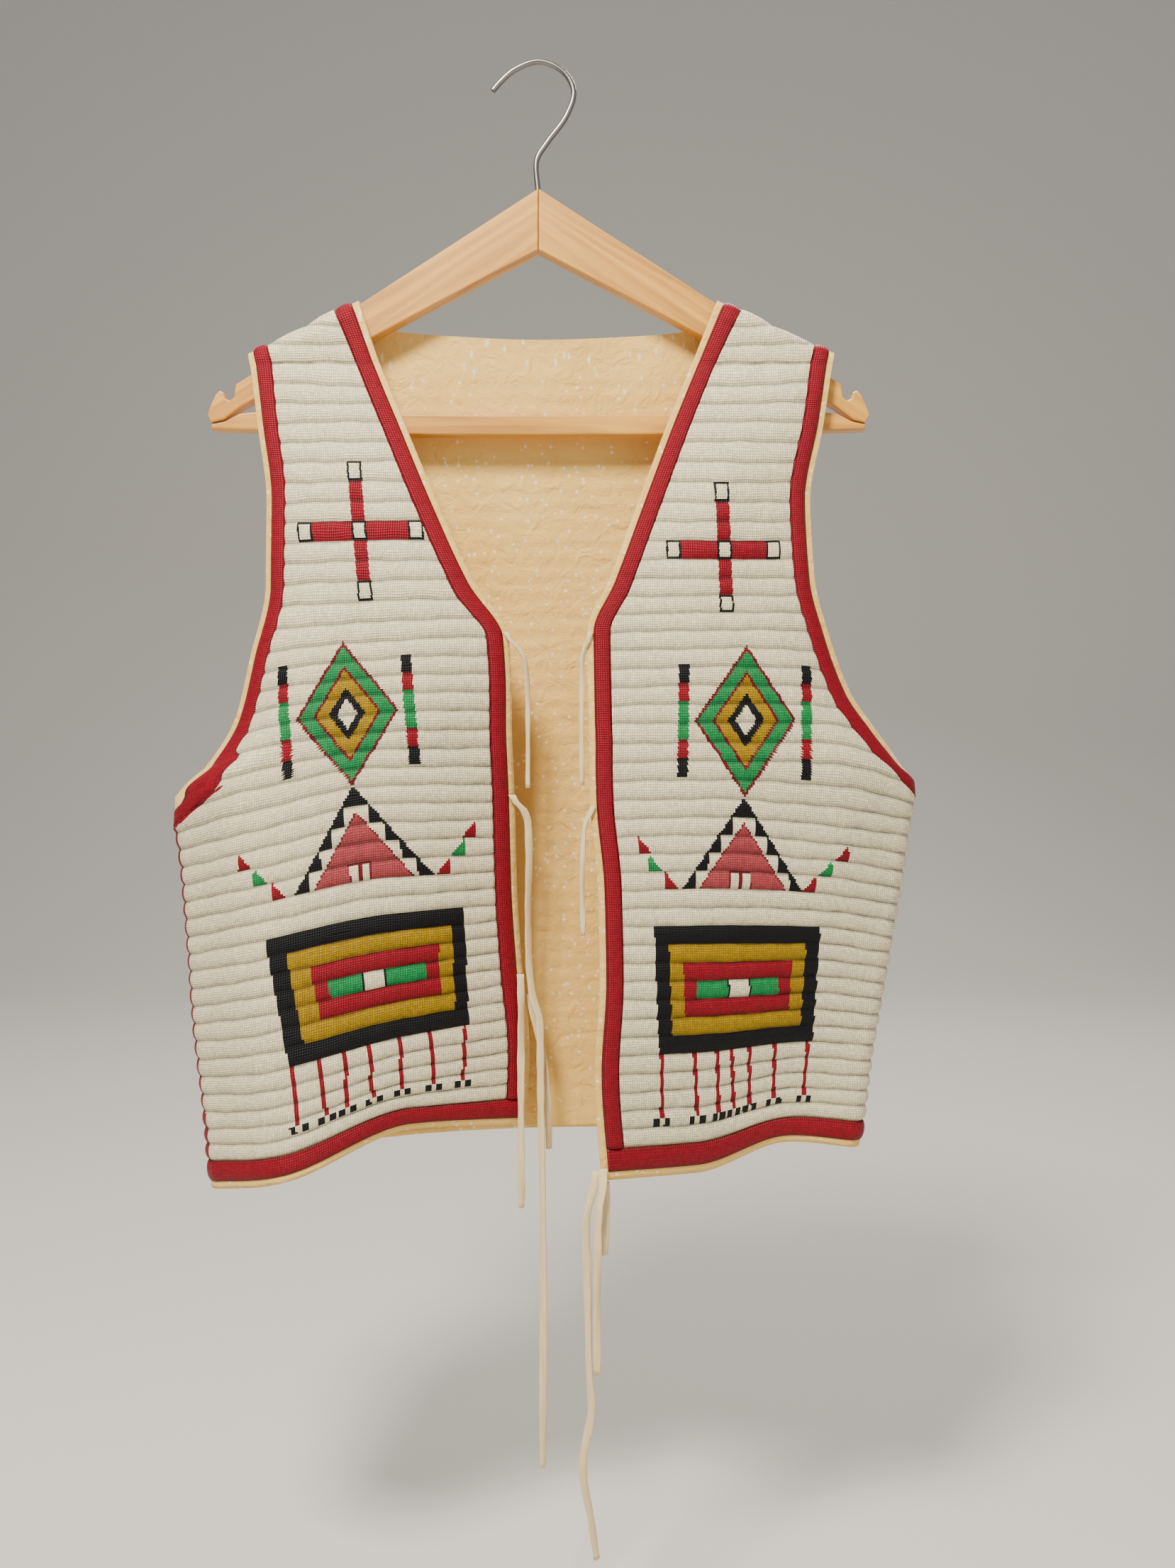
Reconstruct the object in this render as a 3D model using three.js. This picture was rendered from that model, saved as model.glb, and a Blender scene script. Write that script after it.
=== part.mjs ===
// A fully beaded hide vest on a flat wooden hanger, in millimetres with +Z up and the wearer's front at -Y.
// The origin is where the crown of the hook rests on a wall pin. The cloth is three hide pieces, sewn at
// the shoulders and sides, with lanes of beads raised on their outer faces and red border lanes laid along
// the edges.
import * as THREE from 'three';
import { mergeVertices } from 'three/addons/utils/BufferGeometryUtils.js';

const HIDE = 1.8;                 // thickness of the hide
const LANE_CROWN = 2.0;           // height of a lane of beads over the hide
const LANE_GROOVE = 0.9;          // height left between two lanes
const SEAM_GAP = 0.3;             // room between pieces that meet
const MARGIN = 4;                 // bare hide outside the border lane
const BORDER = 11;                // width of a border lane
const LANE_START = MARGIN + BORDER + 1.2;
const LANES = 42;                 // level lanes down to the hem border; the right front has one more
const HEM_BORDER = 1.3;           // how far the hem's border reaches below the last lane, in lanes
const HEM = 1.75;                 // and the bare margin below it
const ARMPIT = 21.4;              // lane number at which the side seam starts
const ARMPIT_TURN = 1.4;          // lanes over which the edges close to it
const ARMPIT_STRAIGHT = 0.9;      // lanes above it where the armhole's edge is still straight
const ARM_REACH = 10;             // depth of the cloth in front of and behind the hanger arm
const ARM_DROP = 9;               // height over which the cloth turns down from the shoulder seam
const SIDE_ROUND = 9;             // width of the turn at the side seam of a front
const BACK_ROUND = 14;            // width of the turn at the side of the back

const HANGER_MIDDLE = 0.3;
const HANGER_HALF_DEPTH = 5.5;
const BAR_HALF_DEPTH = 5;
const EDGE_ROUND = 1;
const HOOK_RADIUS = 1.9;
const TIE_THICKNESS = 1.5;

const COLOURS = {
  beads: [0xe9e3cf, 0.45, 0], border: [0xb5122b, 0.4, 0], tie: [0xe2b98c, 0.8, 0],
  wood: [0xd9b67c, 0.55, 0], steel: [0xb9b8b4, 0.3, 1],
};

// Each front is drawn at its inner face by lane number: the outer edge, the height and depth of the sheet at
// two places on the way in, and the front edge. Lane 0 stands for the shoulder seam.
const COLUMN_PLACES = [0, 0.28, 0.64, 1];
const FRONT_COLUMNS = [
  'lane', 'outerX', 'outerZ', 'outerY', 'nearZ', 'nearY', 'innerZ', 'innerY', 'frontX', 'frontZ', 'frontY',
];
const named = (names, rows) => rows.map((row) => Object.fromEntries(
  row.map((value, i) => [names[i], value]),
));
const LEFT_FRONT = named(FRONT_COLUMNS, [
  [0, -196, -199.8, 0, -192.0, 0, -177.9, 0, -121.5, -163.9, 0],
  [1, -193.3, -209.6, -10, -208.6, -11, -208.6, -11, -106.2, -208.6, -10],
  [4, -187.5, -249.8, -12, -250.6, -18, -250.4, -19, -89.1, -249.6, -16],
  [8, -180.2, -304.2, -16, -305.7, -27, -305.8, -30, -66.3, -304.1, -24],
  [12, -180, -359.8, -19, -359.8, -34, -358.6, -38, -41.3, -357.8, -30],
  [15, -190, -405.7, -19, -401.8, -40, -397.5, -42, -18.4, -394.2, -30],
  [18, -200.6, -447.7, -17, -439, -44, -432.2, -45, -16.7, -430.5, -28],
  [20, -221.6, -481.3, -15, -465.6, -46, -457, -46, -16.8, -454.2, -26],
  [21, -243.8, -500.3, -13, -483, -47, -468.9, -46, -16.4, -466.9, -25],
  [22, -244.8, -512.3, -12, -494.9, -48, -480.3, -46, -16, -479.1, -23],
  [24, -240.7, -536.1, -12, -520.9, -50, -503.6, -46, -15.3, -502.6, -20],
  [29, -234.6, -594.2, -14, -579.2, -54, -563.3, -44, -14.2, -559.8, -14],
  [34, -228.5, -651.3, -20, -637, -58, -620.7, -41, -11.1, -612.9, -9],
  [39, -219, -707.1, -29, -694.9, -62, -675.9, -37, -6.1, -670.2, -5],
  [43.75, -212, -755.3, -38, -741.6, -66, -717, -34, -8.6, -722.5, -2],
]);
const RIGHT_FRONT = named(FRONT_COLUMNS, [
  [0, 200.5, -199.4, 0, -191.9, 0, -177.8, 0, 121.5, -163.9, 0],
  [1, 198.4, -208.6, -10, -208.6, -11, -209.1, -11, 103.7, -209.1, -10],
  [4, 191.8, -248.9, -12, -250.1, -18, -250.4, -19, 87.4, -250.1, -18],
  [8, 182, -302.8, -16, -305, -24, -306.6, -31, 67, -305.9, -30],
  [12, 184.3, -353.6, -19, -356.2, -30, -357.8, -40, 47.7, -358.8, -42],
  [15, 193.3, -390.5, -19, -390.9, -35, -392.6, -45, 33.4, -393.8, -46],
  [18, 208.4, -430.5, -17, -427.5, -38, -427.9, -48, 33.9, -430.3, -48],
  [20, 227.4, -457.5, -15, -451.7, -39, -451.8, -49, 34.3, -453, -50],
  [21, 242.2, -476.5, -13, -464.6, -39, -464.4, -49, 34.7, -465.5, -51],
  [22, 253.4, -492.2, -12, -477.6, -39, -476.1, -50, 34.7, -477.8, -51],
  [24, 250.3, -514.7, -12, -505.6, -38, -500.4, -50, 35.2, -502.2, -52],
  [29, 241, -572.3, -14, -562.2, -36, -558.3, -49, 40.2, -559.5, -56],
  [34, 231.5, -624.6, -16, -616.7, -32, -617.5, -47, 41.1, -616.3, -60],
  [39, 222.2, -675.8, -18, -671.2, -27, -675.9, -44, 37.9, -675.1, -64],
  [44.75, 214.4, -733, -22, -728, -24, -743.5, -40, 42.3, -740, -68],
]);

// The back's top edge: shoulder seams outside, the shallow neck between them.
const BACK_TOP = [
  { x: -196, z: -199.8 }, { x: -180, z: -194.2 }, { x: -151, z: -179.4 }, { x: -121.5, z: -163.9 },
  { x: -121, z: -164.5 }, { x: -118.5, z: -168 }, { x: -113, z: -174 }, { x: -101, z: -178.4 },
  { x: -60, z: -182 }, { x: 0, z: -184.5 }, { x: 60, z: -182.4 },
  { x: 101, z: -179 }, { x: 113, z: -174 }, { x: 118.5, z: -168 }, { x: 121, z: -164.5 },
  { x: 121.5, z: -163.9 }, { x: 153, z: -179.4 }, { x: 184, z: -194.2 }, { x: 200.5, z: -199.4 },
];
const NECK_HALF = 121.5;          // half width of the neck at the shoulder seams
const NECK_TOP = -163.9;
const SHOULDER_RISE = 0.63;       // slope of the hanger's arms
const NECK_FIELD = 128;           // half width within which the neck's border lies under the top edge
const BACK_ARMHOLE_INSET = 5;     // the back's armhole is cut this much further in
const BACK_DEPTH = [
  { lane: 0, y: 10 }, { lane: 1, y: 10.5 }, { lane: 10, y: 14 },
  { lane: 22, y: 16 }, { lane: 43.75, y: 12.2 },
];
const BACK_MIDDLE = [{ lane: 1, z: -211 }, { lane: 22, z: -465 }, { lane: 43.75, z: -727 }];

const clamp = (value, low, high) => Math.min(high, Math.max(low, value));
const mix = (a, b, t) => a + (b - a) * t;
function smooth(value) {
  const t = clamp(value, 0, 1);
  return t * t * (3 - 2 * t);
}

// A curve through points that never swings past them (monotone cubic).
function through(places, values, at) {
  const last = places.length - 1;
  const t = clamp(at, places[0], places[last]);
  let i = 0;
  while (i < last - 1 && t > places[i + 1]) i += 1;
  const rise = (k) => (values[k + 1] - values[k]) / (places[k + 1] - places[k]);
  const slope = (k) => {
    if (k === 0) return rise(0);
    if (k === last) return rise(last - 1);
    const before = rise(k - 1);
    const after = rise(k);
    return before * after <= 0 ? 0 : (2 * before * after) / (before + after);
  };
  const width = places[i + 1] - places[i];
  const s = (t - places[i]) / width;
  const start = (1 + 2 * s) * (1 - s) * (1 - s) * values[i] + s * (1 - s) * (1 - s) * width * slope(i);
  return start + s * s * (3 - 2 * s) * values[i + 1] + s * s * (s - 1) * width * slope(i + 1);
}
function column(table, name, lane, key = 'lane') {
  return through(table.map((row) => row[key]), table.map((row) => row[name]), lane);
}

// How far the cloth stands off the hanger's middle plane, by the drop below the shoulder line.
function armTurn(drop) {
  const s = clamp(drop / ARM_DROP, 0, 1);
  return Math.sqrt(1 - (1 - s) * (1 - s));
}
// The turn at a side seam: 1 at the seam, 0 once the sheet faces the front or the back.
function sideTurn(distance, reach) {
  const s = clamp(distance / reach, 0, 1);
  return 1 - Math.sqrt(1 - (1 - s) * (1 - s));
}
const seamShare = (lane) => smooth((lane - ARMPIT + ARMPIT_TURN) / ARMPIT_TURN);
const seamDepth = (table, lane) => column(table, 'outerY', lane) + ARM_REACH;

// A point of a front's inner face: u runs from the outer edge to the front edge, v is the lane number.
function frontPoint(table, u, v) {
  const outerX = column(table, 'outerX', v);
  const frontX = column(table, 'frontX', v);
  const x = mix(outerX, frontX, u);
  const across = (names) => through(COLUMN_PLACES, names.map((name) => column(table, name, v)), u);
  const z = across(['outerZ', 'nearZ', 'innerZ', 'frontZ']);
  let y = across(['outerY', 'nearY', 'innerY', 'frontY']);
  if (v < 1) {
    const [top, below] = table;
    const seam = through(COLUMN_PLACES, [top.outerZ, top.nearZ, top.innerZ, top.frontZ], u);
    const depth = through(COLUMN_PLACES, [below.outerY, below.nearY, below.innerY, below.frontY], u);
    y = depth * armTurn(seam - z);
  }
  const turned = seamShare(v) * sideTurn(Math.abs(x - outerX), SIDE_ROUND);
  return new THREE.Vector3(x, y + turned * ARM_REACH - SEAM_GAP / 2, z);
}

// The right front's extra lane lies below this one, so the back's lanes meet it a little stretched there.
const EVEN_LANES = 39;
function rightLane(lane) {
  const share = (lane - EVEN_LANES) / (LANES + HEM - EVEN_LANES);
  return share <= 0 ? lane : mix(EVEN_LANES, LANES + 1 + HEM, share);
}
function backEdgeX(table, lane) {
  const inset = BACK_ARMHOLE_INSET * smooth(lane / 4) * (1 - smooth((lane - 18) / 4));
  const x = column(table, 'outerX', lane);
  return x - Math.sign(x) * inset;
}
// A point of the back's inner face: u runs from the viewer's left edge to the right one.
function backPoint(u, v) {
  const leftX = backEdgeX(LEFT_FRONT, v);
  const rightX = backEdgeX(RIGHT_FRONT, rightLane(v));
  const x = mix(leftX, rightX, u);
  const level = (lane) => {
    const middle = column(BACK_MIDDLE, 'z', lane);
    const left = column(LEFT_FRONT, 'outerZ', lane) - middle;
    const right = column(RIGHT_FRONT, 'outerZ', rightLane(lane)) - middle;
    return middle + left * Math.pow(1 - u, 4) + right * Math.pow(u, 4);
  };
  const z = v < 1 ? mix(column(BACK_TOP, 'z', x, 'x'), level(1), v) : level(v);
  const neckLine = NECK_TOP + SHOULDER_RISE * (NECK_HALF - Math.abs(x));
  const shoulderLine = Math.abs(x) < NECK_HALF ? neckLine : column(BACK_TOP, 'z', x, 'x');
  let y = column(BACK_DEPTH, 'y', v) * (v < 1 ? armTurn(shoulderLine - z) : 1);
  const nearLeft = u < 0.5;
  const seam = nearLeft ? seamDepth(LEFT_FRONT, v) : seamDepth(RIGHT_FRONT, rightLane(v));
  const distance = nearLeft ? x - leftX : rightX - x;
  y = mix(y, seam, seamShare(v) * sideTurn(distance, BACK_ROUND));
  return new THREE.Vector3(x, y + SEAM_GAP / 2, z);
}

// The outward direction of a sheet, from neighbouring points. The fronts face -Y and the back +Y.
function outward(point, u, v, facing) {
  const step = 0.004;
  const along = point(clamp(u + step, 0, 1), v).sub(point(clamp(u - step, 0, 1), v));
  const down = point(u, v + step * 10).sub(point(u, Math.max(0, v - step * 10)));
  const normal = along.cross(down).normalize();
  const side = Math.sign(point(u, v).x - HANGER_MIDDLE);
  const sideways = Math.abs(normal.y) < 0.2 ? normal.x * side : 0;
  const upwards = v < 0.1 ? normal.z : 0;
  return normal.y * facing + sideways + upwards < 0 ? normal.negate() : normal;
}

// Height of the beadwork over the hide: a row of lanes inside the borders, bare hide outside them.
function laneHeight(position) {
  const crown = Math.pow(Math.abs(Math.sin(Math.PI * position)), 0.6);
  return mix(LANE_GROOVE, LANE_CROWN, crown);
}
function dressed(name, geometry, colour) {
  const [tone, roughness, metalness] = COLOURS[colour];
  const material = new THREE.MeshStandardMaterial({ color: tone, roughness, metalness });
  const mesh = new THREE.Mesh(geometry, material);
  mesh.name = name;
  return mesh;
}
function meshOf(name, vertices, triangles, colour) {
  let geometry = new THREE.BufferGeometry();
  const numbers = vertices.flatMap((p) => [p.x, p.y, p.z]);
  geometry.setAttribute('position', new THREE.Float32BufferAttribute(numbers, 3));
  geometry.setIndex(triangles.flat());
  geometry = mergeVertices(geometry, 1e-4);
  const position = geometry.attributes.position;
  const [a, b, c] = [new THREE.Vector3(), new THREE.Vector3(), new THREE.Vector3()];
  let volume = 0;
  for (let i = 0; i < geometry.index.count; i += 3) {
    a.fromBufferAttribute(position, geometry.index.getX(i));
    b.fromBufferAttribute(position, geometry.index.getX(i + 1));
    c.fromBufferAttribute(position, geometry.index.getX(i + 2));
    volume += a.dot(b.cross(c));
  }
  if (volume < 0) geometry.setIndex(Array.from(geometry.index.array).reverse());
  geometry.computeVertexNormals();
  return dressed(name, geometry, colour);
}

// A closed wall from a fine outer face and a plain inner face that keeps only some of its rows.
function wall(name, { outer, inner, layout }) {
  const rows = outer.length;
  const width = outer[0].length;
  const vertices = [...outer.flat(), ...inner.flat()];
  const out = (row, col) => row * width + col;
  const into = (row, col) => rows * width + row * width + col;
  const triangles = [];
  const quad = (a, b, c, d) => triangles.push([a, b, c], [a, c, d]);
  for (let row = 0; row + 1 < rows; row += 1) {
    for (let col = 0; col + 1 < width; col += 1) {
      quad(out(row, col), out(row, col + 1), out(row + 1, col + 1), out(row + 1, col));
    }
  }
  layout.kept.slice(1).forEach((to, k) => {
    const from = layout.kept[k];
    for (let col = 0; col + 1 < width; col += 1) {
      quad(into(from, col), into(to, col), into(to, col + 1), into(from, col + 1));
    }
    const half = Math.floor((from + to) / 2);
    for (let row = from; row < to; row += 1) {
      const end = row < half ? from : to;
      triangles.push([out(row, 0), out(row + 1, 0), into(end, 0)]);
      triangles.push([out(row + 1, width - 1), out(row, width - 1), into(end, width - 1)]);
    }
    triangles.push([out(half, 0), into(to, 0), into(from, 0)]);
    triangles.push([out(half, width - 1), into(from, width - 1), into(to, width - 1)]);
  });
  const last = rows - 1;
  for (let col = 0; col + 1 < width; col += 1) {
    quad(out(0, col + 1), out(0, col), into(0, col), into(0, col + 1));
    quad(out(last, col), out(last, col + 1), into(last, col + 1), into(last, col));
  }
  const used = new Map();
  const kept = [];
  const compact = triangles.map((triangle) => triangle.map((index) => {
    if (!used.has(index)) { used.set(index, kept.length); kept.push(vertices[index]); }
    return used.get(index);
  }));
  return meshOf(name, kept, compact, 'beads');
}

// Row positions: a few down the shoulder, two a lane to the hem border, then the border and the hide margin.
const NECK_ROWS = [0.15, 0.35, 0.55];
const SHOULDER_ROWS = [0, 0.015, 0.06, ...NECK_ROWS, 0.75];
function layoutOf(lanes) {
  const rows = [...SHOULDER_ROWS];
  for (let half = 2; half <= lanes * 2; half += 1) rows.push(half / 2);
  rows.push(lanes + 0.1, lanes + HEM_BORDER, lanes + HEM);
  const firstLevel = SHOULDER_ROWS.length;
  const lastLane = rows.indexOf(lanes);
  const isKept = (row) => row <= firstLevel || row >= lastLane || (row - firstLevel) % 8 === 0;
  return { lanes, rows, kept: rows.map((_, row) => row).filter(isKept), hemRow: lastLane + 1 };
}

// Widths measured square to a slanted edge, as widths along a lane that climbs inwards by a share.
const WIDEST_SLANT = 2.8;
function slant(edge, lane, rise = 0) {
  const upper = edge(Math.max(0, lane - 0.25));
  const lower = edge(lane + 0.25);
  const drop = upper.z - lower.z;
  const outwards = Math.abs(lower.x) - Math.abs(upper.x);
  return Math.min(WIDEST_SLANT, Math.hypot(outwards, drop) / Math.max(0.1 * drop, drop - outwards * rise));
}
// How steeply a front's lane climbs inwards from its outer edge.
function sideRise(table, lane) {
  const run = COLUMN_PLACES[1] * Math.abs(column(table, 'frontX', lane) - column(table, 'outerX', lane));
  return (column(table, 'nearZ', lane) - column(table, 'outerZ', lane)) / run;
}
const OUTER_STEPS = [0, 1.2, MARGIN, 9, MARGIN + BORDER, LANE_START];
const FRONT_STEPS = [0, MARGIN, MARGIN + BORDER, LANE_START];
const FRONT_FIELD = 5;
const BORDER_REACH = 1.3;         // how far a front's armhole border runs on below the armpit, in lanes
const spaced = (from, to, count) => Array.from({ length: count + 1 }, (_, i) => mix(from, to, i / count));

function panelGrid(layout, point, facing, columnsAt, raised) {
  const grid = { layout, inner: [], outer: [], bare: [], direction: [] };
  for (const v of layout.rows) {
    const places = columnsAt(v);
    const inner = places.map((u) => point(u, v));
    const direction = places.map((u) => outward(point, u, v, facing));
    const bare = inner.map((base, col) => base.clone().addScaledVector(direction[col], HIDE));
    const outer = bare.map((hide, col) => {
      const beaded = v <= layout.lanes && raised(col, v, hide);
      const height = beaded ? laneHeight(v < 1 ? v * 3 : v) : 0;
      const top = hide.clone().addScaledVector(direction[col], height);
      const atShoulder = v === 0 && Math.abs(inner[col].y) < 1;
      const atSide = (col === 0 || (facing > 0 && col === places.length - 1)) && v >= ARMPIT;
      if (atShoulder || atSide) top.y = inner[col].y;
      return top;
    });
    grid.inner.push(inner);
    grid.outer.push(outer);
    grid.bare.push(bare);
    grid.direction.push(direction);
  }
  return grid;
}

function frontGrid(table, lanes) {
  const outer = (lane) => ({ x: column(table, 'outerX', lane), z: column(table, 'outerZ', lane) });
  const front = (lane) => ({ x: column(table, 'frontX', lane), z: column(table, 'frontZ', lane) });
  const columnsAt = (v) => {
    const width = Math.abs(front(v).x - outer(v).x);
    const straight = Math.min(v, ARMPIT - ARMPIT_STRAIGHT);
    const wider = slant(outer, straight, sideRise(table, straight));
    const left = OUTER_STEPS.map((step) => (step * wider) / width);
    const right = FRONT_STEPS.map((step) => 1 - (step * slant(front, v)) / width).reverse();
    const field = spaced(left[left.length - 1], right[0], FRONT_FIELD).slice(1, -1);
    return [...left, ...field, ...right];
  };
  const firstFrontStep = OUTER_STEPS.length + FRONT_FIELD - 1;
  const pastArmhole = (col, v) => col >= OUTER_STEPS.length - 1 || v > ARMPIT + BORDER_REACH;
  const raised = (col, v) => pastArmhole(col, v) && col <= firstFrontStep;
  return panelGrid(layoutOf(lanes), (u, v) => frontPoint(table, u, v), -1, columnsAt, raised);
}

// Where the columns of the back stand at its top: close together at the two neck corners.
const NECK_COLUMNS = [-121.5, -121, -118.5, -113, -101, 0, 101, 113, 118.5, 121, 121.5];
function backGrid() {
  const edgeOf = (table, laneOf) => (v) => {
    const lane = laneOf(v);
    return { x: backEdgeX(table, lane), z: column(table, 'outerZ', lane) };
  };
  const leftEdge = edgeOf(LEFT_FRONT, (lane) => lane);
  const rightEdge = edgeOf(RIGHT_FRONT, rightLane);
  const columnsAt = (v) => {
    const leftX = leftEdge(v).x;
    const width = rightEdge(v).x - leftX;
    const wider = (edge) => mix(slant(edge, v), 1, seamShare(v)) / width;
    const stepsFrom = (edge) => OUTER_STEPS.map((step) => step * wider(edge));
    const left = stepsFrom(leftEdge);
    const right = stepsFrom(rightEdge).map((u) => 1 - u).reverse();
    const field = NECK_COLUMNS.map((x, i) => {
      const even = mix(left[left.length - 1], right[0], (i + 1) / (NECK_COLUMNS.length + 1));
      return mix((x - leftX) / width, even, smooth(v / 12));
    });
    return [...left, ...field, ...right];
  };
  const edge = OUTER_STEPS.length - 1;
  const last = 2 * OUTER_STEPS.length + NECK_COLUMNS.length - 1;
  const raised = (col, v, hide) => {
    const neck = Math.abs(hide.x) < NECK_FIELD && v < 0.7;
    return col >= edge && col <= last - edge && !neck;
  };
  return panelGrid(layoutOf(LANES), backPoint, 1, columnsAt, raised);
}

// A border lane: a strip laid on the hide, low at its two edges and crowned between them. Each station is
// a list of [row, column] places across the strip on the panel's grid.
const STRIP_LIFT = 0.3;
const STRIP_EDGE = 1.2;
const STRIP_CROWN = 1.9;
const STRIP_INSET = 0.05;
function onGrid(points, row, col) {
  const r = Math.min(Math.floor(row), points.length - 2);
  const c = Math.min(Math.floor(col), points[0].length - 2);
  const upper = points[r][c].clone().lerp(points[r][c + 1], col - c);
  return upper.lerp(points[r + 1][c].clone().lerp(points[r + 1][c + 1], col - c), row - r);
}
function strip(name, grid, stations) {
  const loops = stations.map((places) => {
    const low = [];
    const high = [];
    places.forEach(([row, col], i) => {
      const hide = onGrid(grid.bare, row, col);
      const direction = onGrid(grid.direction, row, col).normalize();
      const crown = mix(STRIP_EDGE, STRIP_CROWN, Math.sin((Math.PI * i) / (places.length - 1)));
      low.push(hide.clone().addScaledVector(direction, STRIP_LIFT));
      high.unshift(hide.clone().addScaledVector(direction, crown));
    });
    return [...low, ...high];
  });
  const size = loops[0].length;
  const triangles = [];
  for (let s = 0; s + 1 < loops.length; s += 1) {
    for (let i = 0; i < size; i += 1) {
      const a = s * size + i;
      const b = s * size + ((i + 1) % size);
      triangles.push([a, b, b + size], [a, b + size, a + size]);
    }
  }
  const cap = (first, flip) => {
    for (let i = 0; i + 1 < size / 2; i += 1) {
      const low = first + i;
      const high = first + size - 1 - i;
      const faces = [[low, high, high - 1], [low, high - 1, low + 1]];
      triangles.push(...(flip ? faces.map((face) => face.reverse()) : faces));
    }
  };
  cap(0, false);
  cap((loops.length - 1) * size, true);
  return meshOf(name, loops.flat(), triangles, 'border');
}

const SEAM_ROW = 0.25;
const NECK_BEND = [13, 17];
const ARMPIT_BEND = 17;
// Rows for a strip that runs down a panel: a station every lane or two, and every half lane at a bend.
function rowsBetween({ rows }, from, to, step, bends) {
  const inside = rows.map((v, row) => [v, row]).filter(([v]) => v >= from && v <= to);
  return inside.filter(([v]) => v <= 1 || v % step === 0 || bends(v)).map(([, row]) => row);
}
function armholeRows(layout, step, to) {
  return [SEAM_ROW, ...rowsBetween(layout, 0.01, to, step, (v) => v > ARMPIT_BEND)];
}
function acrossColumns(from, middle, to) {
  return (row) => [[row, from + STRIP_INSET], ...middle.map((col) => [row, col]), [row, to - STRIP_INSET]];
}
function acrossHem({ hemRow }) {
  return (col) => [[hemRow + STRIP_INSET, col], [hemRow + 0.5, col], [hemRow + 1 - STRIP_INSET, col]];
}
const MARGIN_COLUMN = OUTER_STEPS.indexOf(MARGIN);
const BORDER_COLUMN = OUTER_STEPS.indexOf(MARGIN + BORDER);

function frontBorders(side, grid) {
  const { layout } = grid;
  const last = grid.bare[0].length - 1;
  const atNeckBend = (v) => v > NECK_BEND[0] && v < NECK_BEND[1];
  const frontRows = [SEAM_ROW, ...rowsBetween(layout, 0.01, layout.lanes, 1, atNeckBend)];
  const alongFront = acrossColumns(last - 2, [last - 1.5], last - 1);
  const alongArm = acrossColumns(MARGIN_COLUMN, [MARGIN_COLUMN + 1], BORDER_COLUMN);
  return [
    strip(`border_front_${side}`, grid, frontRows.map(alongFront)),
    strip(`border_armhole_${side}`, grid, armholeRows(layout, 1, ARMPIT + BORDER_REACH).map(alongArm)),
    strip(`border_hem_${side}`, grid, [0.6, ...spaced(1, last - 1, last - 2)].map(acrossHem(layout))),
  ];
}

function backBorders(grid) {
  const { layout } = grid;
  const last = grid.bare[0].length - 1;
  const leftArm = acrossColumns(MARGIN_COLUMN, [MARGIN_COLUMN + 1], BORDER_COLUMN);
  const rightArm = acrossColumns(last - BORDER_COLUMN, [last - MARGIN_COLUMN - 1], last - MARGIN_COLUMN);
  const [top, middle, low] = NECK_ROWS.map((v) => layout.rows.indexOf(v));
  const firstNeck = OUTER_STEPS.length + NECK_COLUMNS.indexOf(-113);
  const lastNeck = OUTER_STEPS.length + NECK_COLUMNS.indexOf(113);
  const acrossNeck = (col) => [[top, col], [middle, col], [low - STRIP_INSET, col]];
  const alongNeck = spaced(firstNeck, lastNeck, 2 * (lastNeck - firstNeck));
  const alongHem = [0.6, ...spaced(1, last - 1, last - 2), last - 0.6];
  return [
    strip('border_neck_back', grid, alongNeck.map(acrossNeck)),
    strip('border_armhole_back_left', grid, armholeRows(layout, 2, ARMPIT - ARMPIT_TURN).map(leftArm)),
    strip('border_armhole_back_right', grid, armholeRows(layout, 2, ARMPIT - ARMPIT_TURN).map(rightArm)),
    strip('border_hem_back', grid, alongHem.map(acrossHem(layout))),
  ];
}

// The hanger: two mitred arms with a strap notch near each end, a bowed bar and a bent wire hook.
const ARM_OUTLINE = [
  [0.15, -87.2], [205.5, -220.2], [206.5, -228.5], [209.5, -231], [212.5, -229.6], [213.6, -225.4],
  [216.4, -224.2], [219.2, -227.2], [222.6, -234.8], [224.8, -241], [222, -246], [213.5, -243.8],
  [201.2, -234.6], [0.15, -128.8],
];
const BAR_TOP = [
  [222, -246.9], [213, -245], [203, -239.8], [190, -238.4], [150, -239.4], [75, -240.6], [0, -241],
];
const BAR_REACH = 222;
const BAR_ENDS_LOW = -250.2;
const BAR_MIDDLE_LOW = -254.4;

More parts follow.
